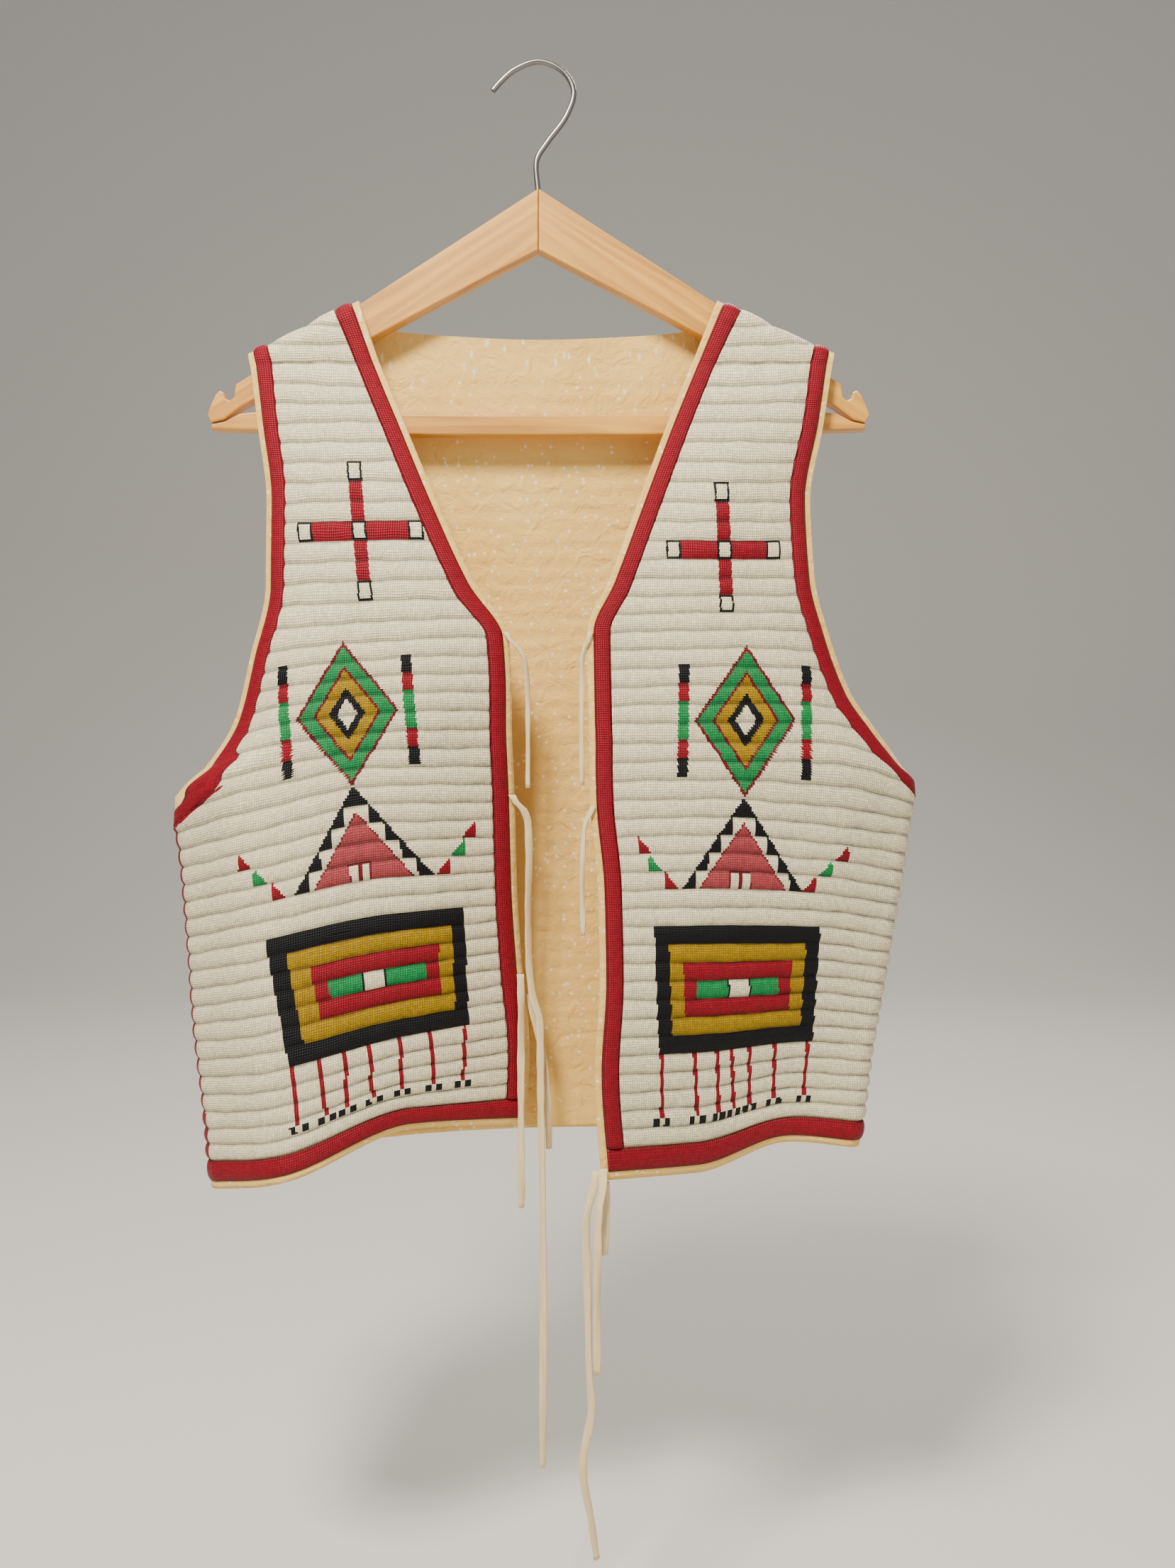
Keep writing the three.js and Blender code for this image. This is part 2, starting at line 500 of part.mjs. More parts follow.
function plate(name, outline, halfDepth, round) {
  const shape = new THREE.Shape(outline.map(([x, z]) => new THREE.Vector2(x, z)));
  const geometry = new THREE.ExtrudeGeometry(shape, {
    depth: 2 * (halfDepth - round),
    steps: 1,
    bevelThickness: round,
    bevelSize: round,
    bevelOffset: -round,
    bevelSegments: 2,
  });
  geometry.translate(0, 0, -(halfDepth - round));
  geometry.rotateX(Math.PI / 2);
  return finished(name, geometry, 'wood');
}
function finished(name, geometry, colour) {
  geometry.deleteAttribute('uv');
  geometry.deleteAttribute('normal');
  const merged = mergeVertices(geometry, 1e-4);
  merged.computeVertexNormals();
  return dressed(name, merged, colour);
}
function hanger() {
  const arm = (sign) => ARM_OUTLINE.map(([x, z]) => [HANGER_MIDDLE + sign * x, z]);
  const bar = [
    ...BAR_TOP.map(([x, z]) => [HANGER_MIDDLE - x, z]),
    ...BAR_TOP.slice(0, -1).reverse().map(([x, z]) => [HANGER_MIDDLE + x, z]),
  ];
  for (const t of spaced(-1, 1, 8)) {
    bar.push([HANGER_MIDDLE - t * BAR_REACH, mix(BAR_MIDDLE_LOW, BAR_ENDS_LOW, t * t)]);
  }
  return [
    plate('hanger_arm_left', arm(-1), HANGER_HALF_DEPTH, EDGE_ROUND),
    plate('hanger_arm_right', arm(1).reverse(), HANGER_HALF_DEPTH, EDGE_ROUND),
    plate('hanger_bar', bar, BAR_HALF_DEPTH, EDGE_ROUND),
    hook(),
  ];
}
const HOOK_PATH = [
  [-0.2, -86.4], [-1, -65.4], [5.8, -53.8], [19.1, -35.4], [24.2, -18.7], [17.4, -5.4], [0.8, 1.9],
  [-16, -3.7], [-25.9, -12.1], [-31, -18],
];
function curveThrough(points) {
  return new THREE.CatmullRomCurve3(points.map((p) => new THREE.Vector3(...p)), false, 'centripetal');
}
function hook() {
  const ring = new THREE.Shape(spaced(0, 7, 7).map((i) => {
    const angle = (i * Math.PI) / 4;
    return new THREE.Vector2(HOOK_RADIUS * Math.cos(angle), HOOK_RADIUS * Math.sin(angle));
  }));
  const extrudePath = curveThrough(HOOK_PATH.map(([x, z]) => [x, 0, z]));
  const geometry = new THREE.ExtrudeGeometry(ring, { steps: 26, extrudePath, bevelEnabled: false });
  return finished('hanger_hook', geometry, 'steel');
}

// The hide ties: flat thongs, each from its hole in the front edge to its free end.
const TIES = {
  tie_left_top: { width: 3.2, route: [
    [-20.2, -33.6, -391.5], [-17.2, -33.6, -397], [-12, -33, -402], [-7.6, -31, -410], [-6, -28, -425],
    [-5.8, -25.5, -460], [-6, -23.5, -494]] },
  tie_left_edge: { width: 5, route: [
    [-11.4, -14.2, -619], [-10.9, -14.5, -640], [-11, -14.8, -700], [-11, -14.4, -740],
    [-10.6, -13.4, -776]] },
  tie_left_long: { width: 5, route: [
    [-16.5, -24.6, -498.5], [-13.8, -24.3, -503.5], [-9.2, -23.6, -508], [-6, -21.2, -517],
    [-5.4, -18.4, -540], [-6.2, -15.8, -575], [-5.9, -14, -606], [-3.6, -13.6, -632], [1.6, -13.6, -652], [2.4, -14, -712],
    [3.4, -14, -760], [4, -14, -845], [3.6, -14, -900], [3.6, -14, -950]] },
  tie_left_short: { width: 5, route: [
    [-5.6, -8.6, -633], [-3.2, -8.6, -646], [4.6, -8.4, -680], [7.2, -8, -716], [7.6, -8, -738]] },
  tie_right_top: { width: 3.2, route: [
    [35.6, -49.2, -393.5], [34.4, -49.5, -398.5], [31.8, -49.8, -404], [30.2, -49.6, -413],
    [29.8, -50, -450], [30.2, -50.8, -492]] },
  tie_right_inside: { width: 3.2, route: [
    [37, -55.3, -505.5], [35.6, -55.6, -510], [32.6, -55.6, -515], [31, -55.4, -524], [30.2, -56, -556],
    [30.8, -56.6, -588]] },
  tie_right_long: { width: 5, route: [
    [39.1, -69, -734], [37.6, -72, -743], [32.8, -76.6, -764], [33.6, -77, -810], [34.4, -77, -852],
    [36, -77, -878], [30.6, -77, -914], [36, -76, -950], [39.4, -76, -973]] },
  tie_right_middle: { width: 5, route: [
    [43.4, -70.8, -732], [43, -76, -743], [40.4, -80, -758], [39.8, -80.5, -790], [39.4, -80.5, -830],
    [39.6, -80.5, -856]] },
  tie_right_stub: { width: 5, route: [
    [45.2, -69.2, -740.6], [45.4, -71, -752], [44.8, -74, -770], [44.4, -76, -784]] },
};
const STEPS_A_STRETCH = 2;
const TIE_CORNER = 0.4;
// A thong keeps its flat side to the front all the way down, so its section only slides along the route.
function tie(name, { width, route }) {
  const [wide, thick] = [width / 2, TIE_THICKNESS / 2];
  const [low, high] = [thick - TIE_CORNER, wide - TIE_CORNER];
  const section = [
    [-wide, -low], [-high, -thick], [high, -thick], [wide, -low],
    [wide, low], [high, thick], [-high, thick], [-wide, low],
  ];
  const size = section.length;
  const places = curveThrough(route).getPoints((route.length - 1) * STEPS_A_STRETCH);
  const ringAt = ({ x, y, z }) => section.map(([a, b]) => new THREE.Vector3(x + a, y + b, z));
  const vertices = places.flatMap(ringAt);
  const triangles = [];
  for (let s = 0; s + 1 < places.length; s += 1) {
    for (let i = 0; i < size; i += 1) {
      const a = s * size + i;
      const b = s * size + ((i + 1) % size);
      triangles.push([a, a + size, b + size], [a, b + size, b]);
    }
  }
  const end = (places.length - 1) * size;
  for (let i = 1; i + 1 < size; i += 1) triangles.push([0, i, i + 1], [end, end + i + 1, end + i]);
  return meshOf(name, vertices, triangles, 'tie');
}

const left = frontGrid(LEFT_FRONT, LANES);
const right = frontGrid(RIGHT_FRONT, LANES + 1);
const back = backGrid();
const vest = new THREE.Group();
vest.add(
  wall('front_left', left), wall('front_right', right), wall('back', back),
  ...frontBorders('left', left), ...frontBorders('right', right), ...backBorders(back),
  ...hanger(), ...Object.entries(TIES).map(([name, shape]) => tie(name, shape)),
);
export default vest;
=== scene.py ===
"""A fully beaded hide vest on a wooden hanger: the finish of its hide, beadwork, ties, wood and wire."""
import logging
import math
from dataclasses import dataclass
from enum import Enum
from typing import Sequence

import bpy
import numpy as np
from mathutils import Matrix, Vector


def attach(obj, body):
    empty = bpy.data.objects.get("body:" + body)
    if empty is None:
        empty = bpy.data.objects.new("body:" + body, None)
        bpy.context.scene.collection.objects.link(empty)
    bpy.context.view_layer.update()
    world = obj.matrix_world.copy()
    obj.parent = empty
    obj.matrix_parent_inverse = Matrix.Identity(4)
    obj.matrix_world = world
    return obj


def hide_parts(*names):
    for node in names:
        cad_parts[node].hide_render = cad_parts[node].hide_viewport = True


LOG = logging.getLogger("vest")
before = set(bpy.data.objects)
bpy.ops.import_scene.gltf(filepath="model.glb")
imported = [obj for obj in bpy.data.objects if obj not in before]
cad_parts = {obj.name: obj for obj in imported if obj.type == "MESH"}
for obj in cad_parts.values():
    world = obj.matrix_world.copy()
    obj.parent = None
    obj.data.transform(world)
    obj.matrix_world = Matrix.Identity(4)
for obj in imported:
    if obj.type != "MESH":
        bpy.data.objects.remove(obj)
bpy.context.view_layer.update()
ROOT = "root"
MM = 0.001

HIDE = 1.8
LANE_CROWN = 2.2
LANE_GROOVE = 0.35
SEAM_GAP = 0.3
MARGIN = 4.0
BORDER = 11.0
LANE_PITCH = 12.2
LANES = 42
HEM_BORDER = 1.3
HEM = 1.75
EVEN_LANES = 39
ARMPIT = 21.4
ARMPIT_TURN = 1.4
ARMPIT_STRAIGHT = 0.9
BORDER_REACH = 1.3
WIDEST_SLANT = 2.8
ARM_REACH = 10.0
ARM_DROP = 9.0
SIDE_ROUND = 9.0
BACK_ROUND = 14.0
BEAD_WIDTH = 1.45
BEADS_PER_LANE = 8
FIELD_EDGE = MARGIN + BORDER + 0.1
SEAM_EDGE = 0.4
SEAM_START = 0.004
ACROSS = 9
ACROSS_BORDER = np.linspace(MARGIN + BORDER, MARGIN, ACROSS)[None, :]

COLUMN_PLACES = (0.0, 0.28, 0.64, 1.0)
FRONT_COLUMNS = ("lane", "outerX", "outerZ", "outerY", "nearZ", "nearY", "innerZ", "innerY", "frontX",
                 "frontZ", "frontY")
HEIGHTS = ("outerZ", "nearZ", "innerZ", "frontZ")
DEPTHS = ("outerY", "nearY", "innerY", "frontY")
LEFT_ROWS = (
    (0, -196, -199.8, 0, -192, 0, -177.9, 0, -121.5, -163.9, 0),
    (1, -193.3, -209.6, -10, -208.6, -11, -208.6, -11, -106.2, -208.6, -10),
    (4, -187.5, -249.8, -12, -250.6, -18, -250.4, -19, -89.1, -249.6, -16),
    (8, -180.2, -304.2, -16, -305.7, -27, -305.8, -30, -66.3, -304.1, -24),
    (12, -180, -359.8, -19, -359.8, -34, -358.6, -38, -41.3, -357.8, -30),
    (15, -190, -405.7, -19, -401.8, -40, -397.5, -42, -18.4, -394.2, -30),
    (18, -200.6, -447.7, -17, -439, -44, -432.2, -45, -16.7, -430.5, -28),
    (20, -221.6, -481.3, -15, -465.6, -46, -457, -46, -16.8, -454.2, -26),
    (21, -243.8, -500.3, -13, -483, -47, -468.9, -46, -16.4, -466.9, -25),
    (22, -244.8, -512.3, -12, -494.9, -48, -480.3, -46, -16, -479.1, -23),
    (24, -240.7, -536.1, -12, -520.9, -50, -503.6, -46, -15.3, -502.6, -20),
    (29, -234.6, -594.2, -14, -579.2, -54, -563.3, -44, -14.2, -559.8, -14),
    (34, -228.5, -651.3, -20, -637, -58, -620.7, -41, -11.1, -612.9, -9),
    (39, -219, -707.1, -29, -694.9, -62, -675.9, -37, -6.1, -670.2, -5),
    (43.75, -212, -755.3, -38, -741.6, -66, -717, -34, -8.6, -722.5, -2),
)
RIGHT_ROWS = (
    (0, 200.5, -199.4, 0, -191.9, 0, -177.8, 0, 121.5, -163.9, 0),
    (1, 198.4, -208.6, -10, -208.6, -11, -209.1, -11, 103.7, -209.1, -10),
    (4, 191.8, -248.9, -12, -250.1, -18, -250.4, -19, 87.4, -250.1, -18),
    (8, 182, -302.8, -16, -305, -24, -306.6, -31, 67, -305.9, -30),
    (12, 184.3, -353.6, -19, -356.2, -30, -357.8, -40, 47.7, -358.8, -42),
    (15, 193.3, -390.5, -19, -390.9, -35, -392.6, -45, 33.4, -393.8, -46),
    (18, 208.4, -430.5, -17, -427.5, -38, -427.9, -48, 33.9, -430.3, -48),
    (20, 227.4, -457.5, -15, -451.7, -39, -451.8, -49, 34.3, -453, -50),
    (21, 242.2, -476.5, -13, -464.6, -39, -464.4, -49, 34.7, -465.5, -51),
    (22, 253.4, -492.2, -12, -477.6, -39, -476.1, -50, 34.7, -477.8, -51),
    (24, 250.3, -514.7, -12, -505.6, -38, -500.4, -50, 35.2, -502.2, -52),
    (29, 241, -572.3, -14, -562.2, -36, -558.3, -49, 40.2, -559.5, -56),
    (34, 231.5, -624.6, -16, -616.7, -32, -617.5, -47, 41.1, -616.3, -60),
    (39, 222.2, -675.8, -18, -671.2, -27, -675.9, -44, 37.9, -675.1, -64),
    (44.75, 214.4, -733, -22, -728, -24, -743.5, -40, 42.3, -740, -68),
)
BACK_TOP_X = (-196, -180, -151, -121.5, -121, -118.5, -113, -101, -60, 0,
              60, 101, 113, 118.5, 121, 121.5, 153, 184, 200.5)
BACK_TOP_Z = (-199.8, -194.2, -179.4, -163.9, -164.5, -168, -174, -178.4, -182, -184.5,
              -182.4, -179, -174, -168, -164.5, -163.9, -179.4, -194.2, -199.4)
NECK_HALF = 121.5
NECK_TOP = -163.9
NECK_RISE = 0.63
BACK_ARMHOLE_INSET = 5.0
BACK_MIDDLE = (-211, -465, -727)

Array = np.ndarray
Socket = bpy.types.NodeSocket


def smooth(value: Array | float) -> Array:
    """Ease from 0 to 1 between the same two values."""
    t = np.clip(value, 0.0, 1.0)
    return t * t * (3 - 2 * t)


def mix(a: Array | float, b: Array | float, t: Array | float) -> Array:
    """Blend from a to b."""
    return a + (b - a) * t


def hermite(s: Array, width: Array | float, ends: Sequence[Array], slopes: Sequence[Array]) -> Array:
    """A cubic between two values, with a slope at each.

    Args:
        s: share of the way from the first to the second.
        width: the distance between them.
        ends: the two values.
        slopes: the two slopes.

    Returns:
        The curve's values.
    """
    return ((1 + 2 * s) * (1 - s) ** 2 * ends[0] + s * (1 - s) ** 2 * width * slopes[0]
            + s * s * (3 - 2 * s) * ends[1] + s * s * (s - 1) * width * slopes[1])


def through(places: Sequence[float], values: Sequence[Array | float], at: Array | float) -> Array:
    """Follow a smooth curve through points that never swings past them.

    Args:
        places: the points' places, rising.
        values: one value, or one array of values, for each place.
        at: where the curve is read.

    Returns:
        The curve's values there.
    """
    at = np.clip(np.asarray(at, dtype=float), places[0], places[-1])
    values = [np.asarray(value, dtype=float) for value in values]
    rises = [(values[k + 1] - values[k]) / (places[k + 1] - places[k]) for k in range(len(places) - 1)]
    slopes = [rises[0]]
    for before, after in zip(rises, rises[1:]):
        product = before * after
        total = np.where(before + after == 0, 1.0, before + after)
        slopes.append(np.where(product <= 0, 0.0, 2 * product / total))
    slopes.append(rises[-1])
    shape = np.broadcast(at, values[0]).shape
    result = np.zeros(shape)
    for k in range(len(places) - 1):
        width = places[k + 1] - places[k]
        s = (at - places[k]) / width
        curve = hermite(s, width, values[k:k + 2], slopes[k:k + 2])
        inside = (at >= places[k]) & (at <= places[k + 1])
        result = np.where(inside, curve, result)
    return result


def catmull(steps: Array, values: Array, at: Array) -> Array:
    """A smooth curve that rounds its turns, with slopes from each point's two neighbours.

    Args:
        steps: the points' places, rising.
        values: their values.
        at: where the curve is read.

    Returns:
        The curve's values there.
    """
    slopes = np.gradient(values, steps)
    k = np.clip(np.searchsorted(steps, at, side="right") - 1, 0, len(steps) - 2)
    width = steps[k + 1] - steps[k]
    s = (at - steps[k]) / width
    return hermite(s, width, (values[k], values[k + 1]), (slopes[k], slopes[k + 1]))


def arm_turn(drop: Array) -> Array:
    """Share of the full depth that the cloth has turned to, by its drop below the shoulder line."""
    s = np.clip(drop / ARM_DROP, 0, 1)
    return np.sqrt(1 - (1 - s) ** 2)


def side_turn(distance: Array, reach: float) -> Array:
    """The turn at a side seam: 1 at the seam, 0 once the sheet faces the front or the back."""
    s = np.clip(distance / reach, 0, 1)
    return 1 - np.sqrt(1 - (1 - s) ** 2)


def right_lane(lane: Array | float) -> Array:
    """The right front's lane that meets a lane of the back: its one extra lane lies near the hem."""
    share = (np.asarray(lane) - EVEN_LANES) / (LANES + HEM - EVEN_LANES)
    return np.where(share <= 0, lane, mix(EVEN_LANES, LANES + 1 + HEM, share))


def seam_share(lane: Array) -> Array:
    """How far the side seam has closed at a lane."""
    return smooth((lane - ARMPIT + ARMPIT_TURN) / ARMPIT_TURN)


class Side(Enum):
    """The side of the vest as the viewer sees it."""

    LEFT = "left"
    RIGHT = "right"


class Sheet:
    """A sewn sheet of hide with places given by u across it and v, the lane number, down it."""

    outward_sign = 1.0
    lanes = LANES
    flip = False

    def point(self, u: Array, v: Array) -> Array:
        """Inner face of the sheet, in millimetres."""
        raise NotImplementedError

    def outward(self, u: Array, v: Array) -> Array:
        """Unit direction away from the wearer.

        Args:
            u: places across the sheet.
            v: lane numbers.

        Returns:
            One direction for each place.
        """
        du, dv = 0.004, 0.04
        along = self.point(np.clip(u + du, 0, 1), v) - self.point(np.clip(u - du, 0, 1), v)
        end = self.lanes + HEM
        down = self.point(u, np.clip(v + dv, 0, end)) - self.point(u, np.clip(v - dv, 0, end))
        normal = np.cross(along, down) * self.outward_sign
        return normal / np.linalg.norm(normal, axis=-1, keepdims=True)

    def lifted(self, u: Array, v: Array, height: Array | float) -> Array:
        """A face that stands a height off the hide's outer face.

        Args:
            u: places across the sheet.
            v: lane numbers.
            height: millimetres over the hide.

        Returns:
            Points in millimetres.
        """
        height = np.broadcast_to(np.asarray(height, dtype=float), np.broadcast(u, v).shape)
        return self.point(u, v) + self.outward(u, v) * (HIDE + height)[..., None]


@dataclass
class FrontSheet(Sheet):
    """One front of the vest, from the side seam to the front edge."""

    side: Side
    rows: Sequence[Sequence[float]]

    def __post_init__(self) -> None:
        """Read the table by its column names."""
        self.table = {name: [row[i] for row in self.rows] for i, name in enumerate(FRONT_COLUMNS)}
        self.outward_sign = -1.0 if self.side is Side.LEFT else 1.0
        self.flip = self.side is Side.RIGHT
        self.lanes = LANES + 1 if self.flip else LANES

    def at(self, name: str, lane: Array | float) -> Array:
        """A table column read at a lane."""
        return through(self.table["lane"], self.table[name], lane)

    def point(self, u: Array, v: Array) -> Array:
        """Inner face of the front."""
        u, v = np.broadcast_arrays(np.asarray(u, dtype=float), np.asarray(v, dtype=float))
        outer_x, front_x = self.at("outerX", v), self.at("frontX", v)
        x = mix(outer_x, front_x, u)
        z = through(COLUMN_PLACES, [self.at(name, v) for name in HEIGHTS], u)
        y = through(COLUMN_PLACES, [self.at(name, v) for name in DEPTHS], u)
        seam = through(COLUMN_PLACES, [self.table[name][0] for name in HEIGHTS], u)
        below = through(COLUMN_PLACES, [self.table[name][1] for name in DEPTHS], u)
        y = np.where(v < 1, below * arm_turn(seam - z), y)
        turned = seam_share(v) * side_turn(np.abs(x - outer_x), SIDE_ROUND)
        return np.stack([x, y + turned * ARM_REACH - SEAM_GAP / 2, z], axis=-1)

    def width(self, v: Array) -> Array:
        """Width of the front in millimetres along x."""
        return np.abs(self.at("frontX", v) - self.at("outerX", v))

    def slant(self, edge: str, v: Array) -> Array:
        """How much wider a slanted edge's border is along a lane than square to the edge."""
        upper, lower = np.maximum(0, v - 0.25), v + 0.25
        run = self.at(f"{edge}X", lower) - self.at(f"{edge}X", upper)
        drop = self.at(f"{edge}Z", lower) - self.at(f"{edge}Z", upper)
        return np.minimum(WIDEST_SLANT, np.hypot(1, run / drop))

    def armhole_slant(self, v: Array) -> Array:
        """How much wider the armhole's border is along a lane that climbs inwards from the edge."""
        upper, lower = np.maximum(0, v - 0.25), v + 0.25
        outwards = np.abs(self.at("outerX", lower)) - np.abs(self.at("outerX", upper))
        drop = self.at("outerZ", upper) - self.at("outerZ", lower)
        rise = (self.at("nearZ", v) - self.at("outerZ", v)) / (COLUMN_PLACES[1] * self.width(v))
        fall = np.maximum(0.1 * drop, drop - outwards * rise)
        return np.minimum(WIDEST_SLANT, np.hypot(outwards, drop) / fall)

    def from_outer(self, offset: Array | float, v: Array) -> Array:
        """The u of a place that is so many millimetres in from the outer edge."""
        return offset * self.armhole_slant(np.minimum(v, ARMPIT - ARMPIT_STRAIGHT)) / self.width(v)

    def from_front(self, offset: Array | float, v: Array) -> Array:
        """The u of a place that is so many millimetres in from the front edge."""
        return 1 - offset * self.slant("front", v) / self.width(v)


@dataclass
class BackSheet(Sheet):
    """The back of the vest, from the viewer's left to right."""

    left: FrontSheet
    right: FrontSheet

    def along(self, sheet: FrontSheet, name: str, lane: Array | float) -> Array:
        """A front's table column read where it meets a lane of the back."""
        return sheet.at(name, lane if sheet.side is Side.LEFT else right_lane(lane))

    def edge(self, sheet: FrontSheet, lane: Array) -> Array:
        """The x of a side edge: the back's armhole is cut a little further in."""
        inset = BACK_ARMHOLE_INSET * smooth(lane / 4) * (1 - smooth((lane - 18) / 4))
        x = self.along(sheet, "outerX", lane)
        return x - np.sign(x) * inset

    def level(self, u: Array, lane: Array | float) -> Array:
        """Height of a lane line across the back."""
        middle = through((1, 22, LANES + HEM), BACK_MIDDLE, lane)
        left = self.along(self.left, "outerZ", lane) - middle
        right = self.along(self.right, "outerZ", lane) - middle
        return middle + left * (1 - u) ** 4 + right * u ** 4

    def depth(self, x: Array, z: Array, lane: Array) -> Array:
        """How far the inner face stands behind the hanger's middle plane, away from the sides."""
        full = through((0, 1, 10, 22, LANES + HEM), (10, 10.5, 14, 16, 12.2), lane)
        neck_line = NECK_TOP + NECK_RISE * (NECK_HALF - np.abs(x))
        shoulder = np.where(np.abs(x) < NECK_HALF, neck_line, through(BACK_TOP_X, BACK_TOP_Z, x))
        return full * np.where(lane < 1, arm_turn(shoulder - z), 1)

    def point(self, u: Array, v: Array) -> Array:
        """Inner face of the back."""
        u, v = np.broadcast_arrays(np.asarray(u, dtype=float), np.asarray(v, dtype=float))
        left_x, right_x = self.edge(self.left, v), self.edge(self.right, v)
        x = mix(left_x, right_x, u)
        top = mix(through(BACK_TOP_X, BACK_TOP_Z, x), self.level(u, 1.0), v)
        z = np.where(v < 1, top, self.level(u, v))
        near_left = u < 0.5
        left_y, right_y = (self.along(front, "outerY", v) for front in (self.left, self.right))
        seam = np.where(near_left, left_y, right_y) + ARM_REACH
        distance = np.where(near_left, x - left_x, right_x - x)
        y = mix(self.depth(x, z, v), seam, seam_share(v) * side_turn(distance, BACK_ROUND))
        return np.stack([x, y + SEAM_GAP / 2, z], axis=-1)

    def u_of(self, x: Array, v: Array) -> Array:
        """The u of a place given by its x."""
        left_x, right_x = self.edge(self.left, v), self.edge(self.right, v)
        return (x - left_x) / (right_x - left_x)


def linear(code: str) -> tuple[float, float, float, float]:
    """Turn an sRGB hex colour into linear values."""
    channels = [int(code[i:i + 2], 16) / 255 for i in (1, 3, 5)]
    spread = [c / 12.92 if c <= 0.04045 else ((c + 0.055) / 1.055) ** 2.4 for c in channels]
    return (*spread, 1.0)


class Graph:
    """A new material and its nodes: each method adds a node and returns the output that is wanted."""

    def __init__(self, name: str) -> None:
        """Start a material that is named for what the real one is."""
        self.material = bpy.data.materials.new(name)
        self.material.use_nodes = True
        self.tree = self.material.node_tree

    def fill(self, node: bpy.types.Node, inputs: dict) -> None:
        """Give a node its inputs.

        Args:
            node: the node.
            inputs: a value or a socket for each input, by index or name.
        """
        for key, value in inputs.items():
            if isinstance(value, Socket):
                self.tree.links.new(value, node.inputs[key])
            else:
                node.inputs[key].default_value = value

    def add(self, kind: str, inputs: dict, output: int = 0, **settings: object) -> Socket:
        """Add a node.

        Args:
            kind: the end of Blender's name of the node type.
            inputs: a value or a socket for each input, by index or name.
            output: which of its outputs is wanted.
            settings: its properties.

        Returns:
            That output.
        """
        node = self.tree.nodes.new(f"ShaderNode{kind}")
        for name, value in settings.items():
            setattr(node, name, value)
        self.fill(node, inputs)
        return node.outputs[output]

    def place(self) -> Socket:
        """The place on the object, in metres."""
        return self.add("TexCoord", {}, 3)

    def math(self, operation: str, *values: Socket | float) -> Socket:
        """Reckon with sockets and numbers."""
        return self.add("Math", dict(enumerate(values)), operation=operation)

    def noise(self, place: Socket, scale: float, detail: float, distortion: float = 0.0) -> Socket:
        """A noise from 0 to 1."""
        inputs = {"Vector": place, "Scale": scale, "Detail": detail, "Distortion": distortion}
        return self.add("TexNoise", inputs)

    def remap(self, value: Socket, low: float, high: float, start: float = 0.0, end: float = 1.0) -> Socket:
        """Stretch the values between start and end to those between low and high."""
        return self.add("MapRange", {0: value, 1: start, 2: end, 3: low, 4: high})

    def blend(self, first: Socket | str, second: str, share: Socket) -> Socket:
        """Mix two colours."""
        under = linear(first) if isinstance(first, str) else first
        return self.add("Mix", {0: share, 6: under, 7: linear(second)}, 2, data_type="RGBA")

    def bump(self, height: Socket, strength: float, distance: float, under: dict | None = None) -> Socket:
        """A fine relief."""
        inputs = {"Height": height, "Strength": strength, "Distance": distance, **(under or {})}
        return self.add("Bump", inputs)

    def finish(self, inputs: dict) -> bpy.types.Material:
        """Give the Principled shader its inputs and return the material."""
        self.fill(self.tree.nodes["Principled BSDF"], inputs)
        return self.material


@dataclass(frozen=True)
class GlassBeads:
    """Opaque glass seed beads strung side by side: small humps, painted shade in the gaps between beads and
    in the grooves between lanes, and slight colour drift.
    """

    roughness: float = 0.5
    specular: float = 0.22
    gap_shade: float = 0.6
    groove_shade: float = 0.42
    drift: float = 0.2

    def make(self) -> bpy.types.Material:
        """Build the bead material, which reads the colour attribute and the bead-counted UV map.

        Returns:
            The material.
        """
        graph = Graph("glass_seed_beads")
        colour = graph.add("Attribute", {}, attribute_name="bead_colour")
        place = graph.add("UVMap", {}, uv_map="beads")
        across, down = (graph.add("SeparateXYZ", {0: place}, axis) for axis in (0, 1))
        height = graph.math("MULTIPLY", self.hump(graph, across), self.hump(graph, down))
        bead = graph.add("VectorMath", {0: place}, operation="FLOOR")
        chance = graph.add("TexWhiteNoise", {0: bead}, noise_dimensions="2D")
        tint = graph.remap(chance, 1 - self.drift, 1 + self.drift * 0.4)
        # Painted shade: the colour is darkened towards each bead's edges by gap_shade and along the groove
        # between lanes by groove_shade, and scaled by the random tint.
        tint_and_gap_shade = graph.math("MULTIPLY", tint, graph.remap(height, self.gap_shade, 1.0))
        turn = graph.math("MULTIPLY", down, math.pi / BEADS_PER_LANE)
        crown = graph.math("ABSOLUTE", graph.math("SINE", turn))
        shade = graph.math("MULTIPLY", tint_and_gap_shade, graph.remap(crown, self.groove_shade, 1.0, 0.0, 0.5))
        return graph.finish({"Base Color": graph.add("VectorMath", {0: colour, 3: shade}, operation="SCALE"),
                             "Normal": graph.bump(height, 0.7, 0.0006), "Roughness": self.roughness,
                             "Specular IOR Level": self.specular})

    @staticmethod
    def hump(graph: Graph, count: Socket) -> Socket:
        """A round rise over each whole bead along one direction, from 0 between two beads to 1."""
        centred = graph.math("MULTIPLY_ADD", graph.math("FRACT", count), 2.0, -1.0)
        return graph.math("SQRT", graph.math("SUBTRACT", 1.0, graph.math("MULTIPLY", centred, centred)))


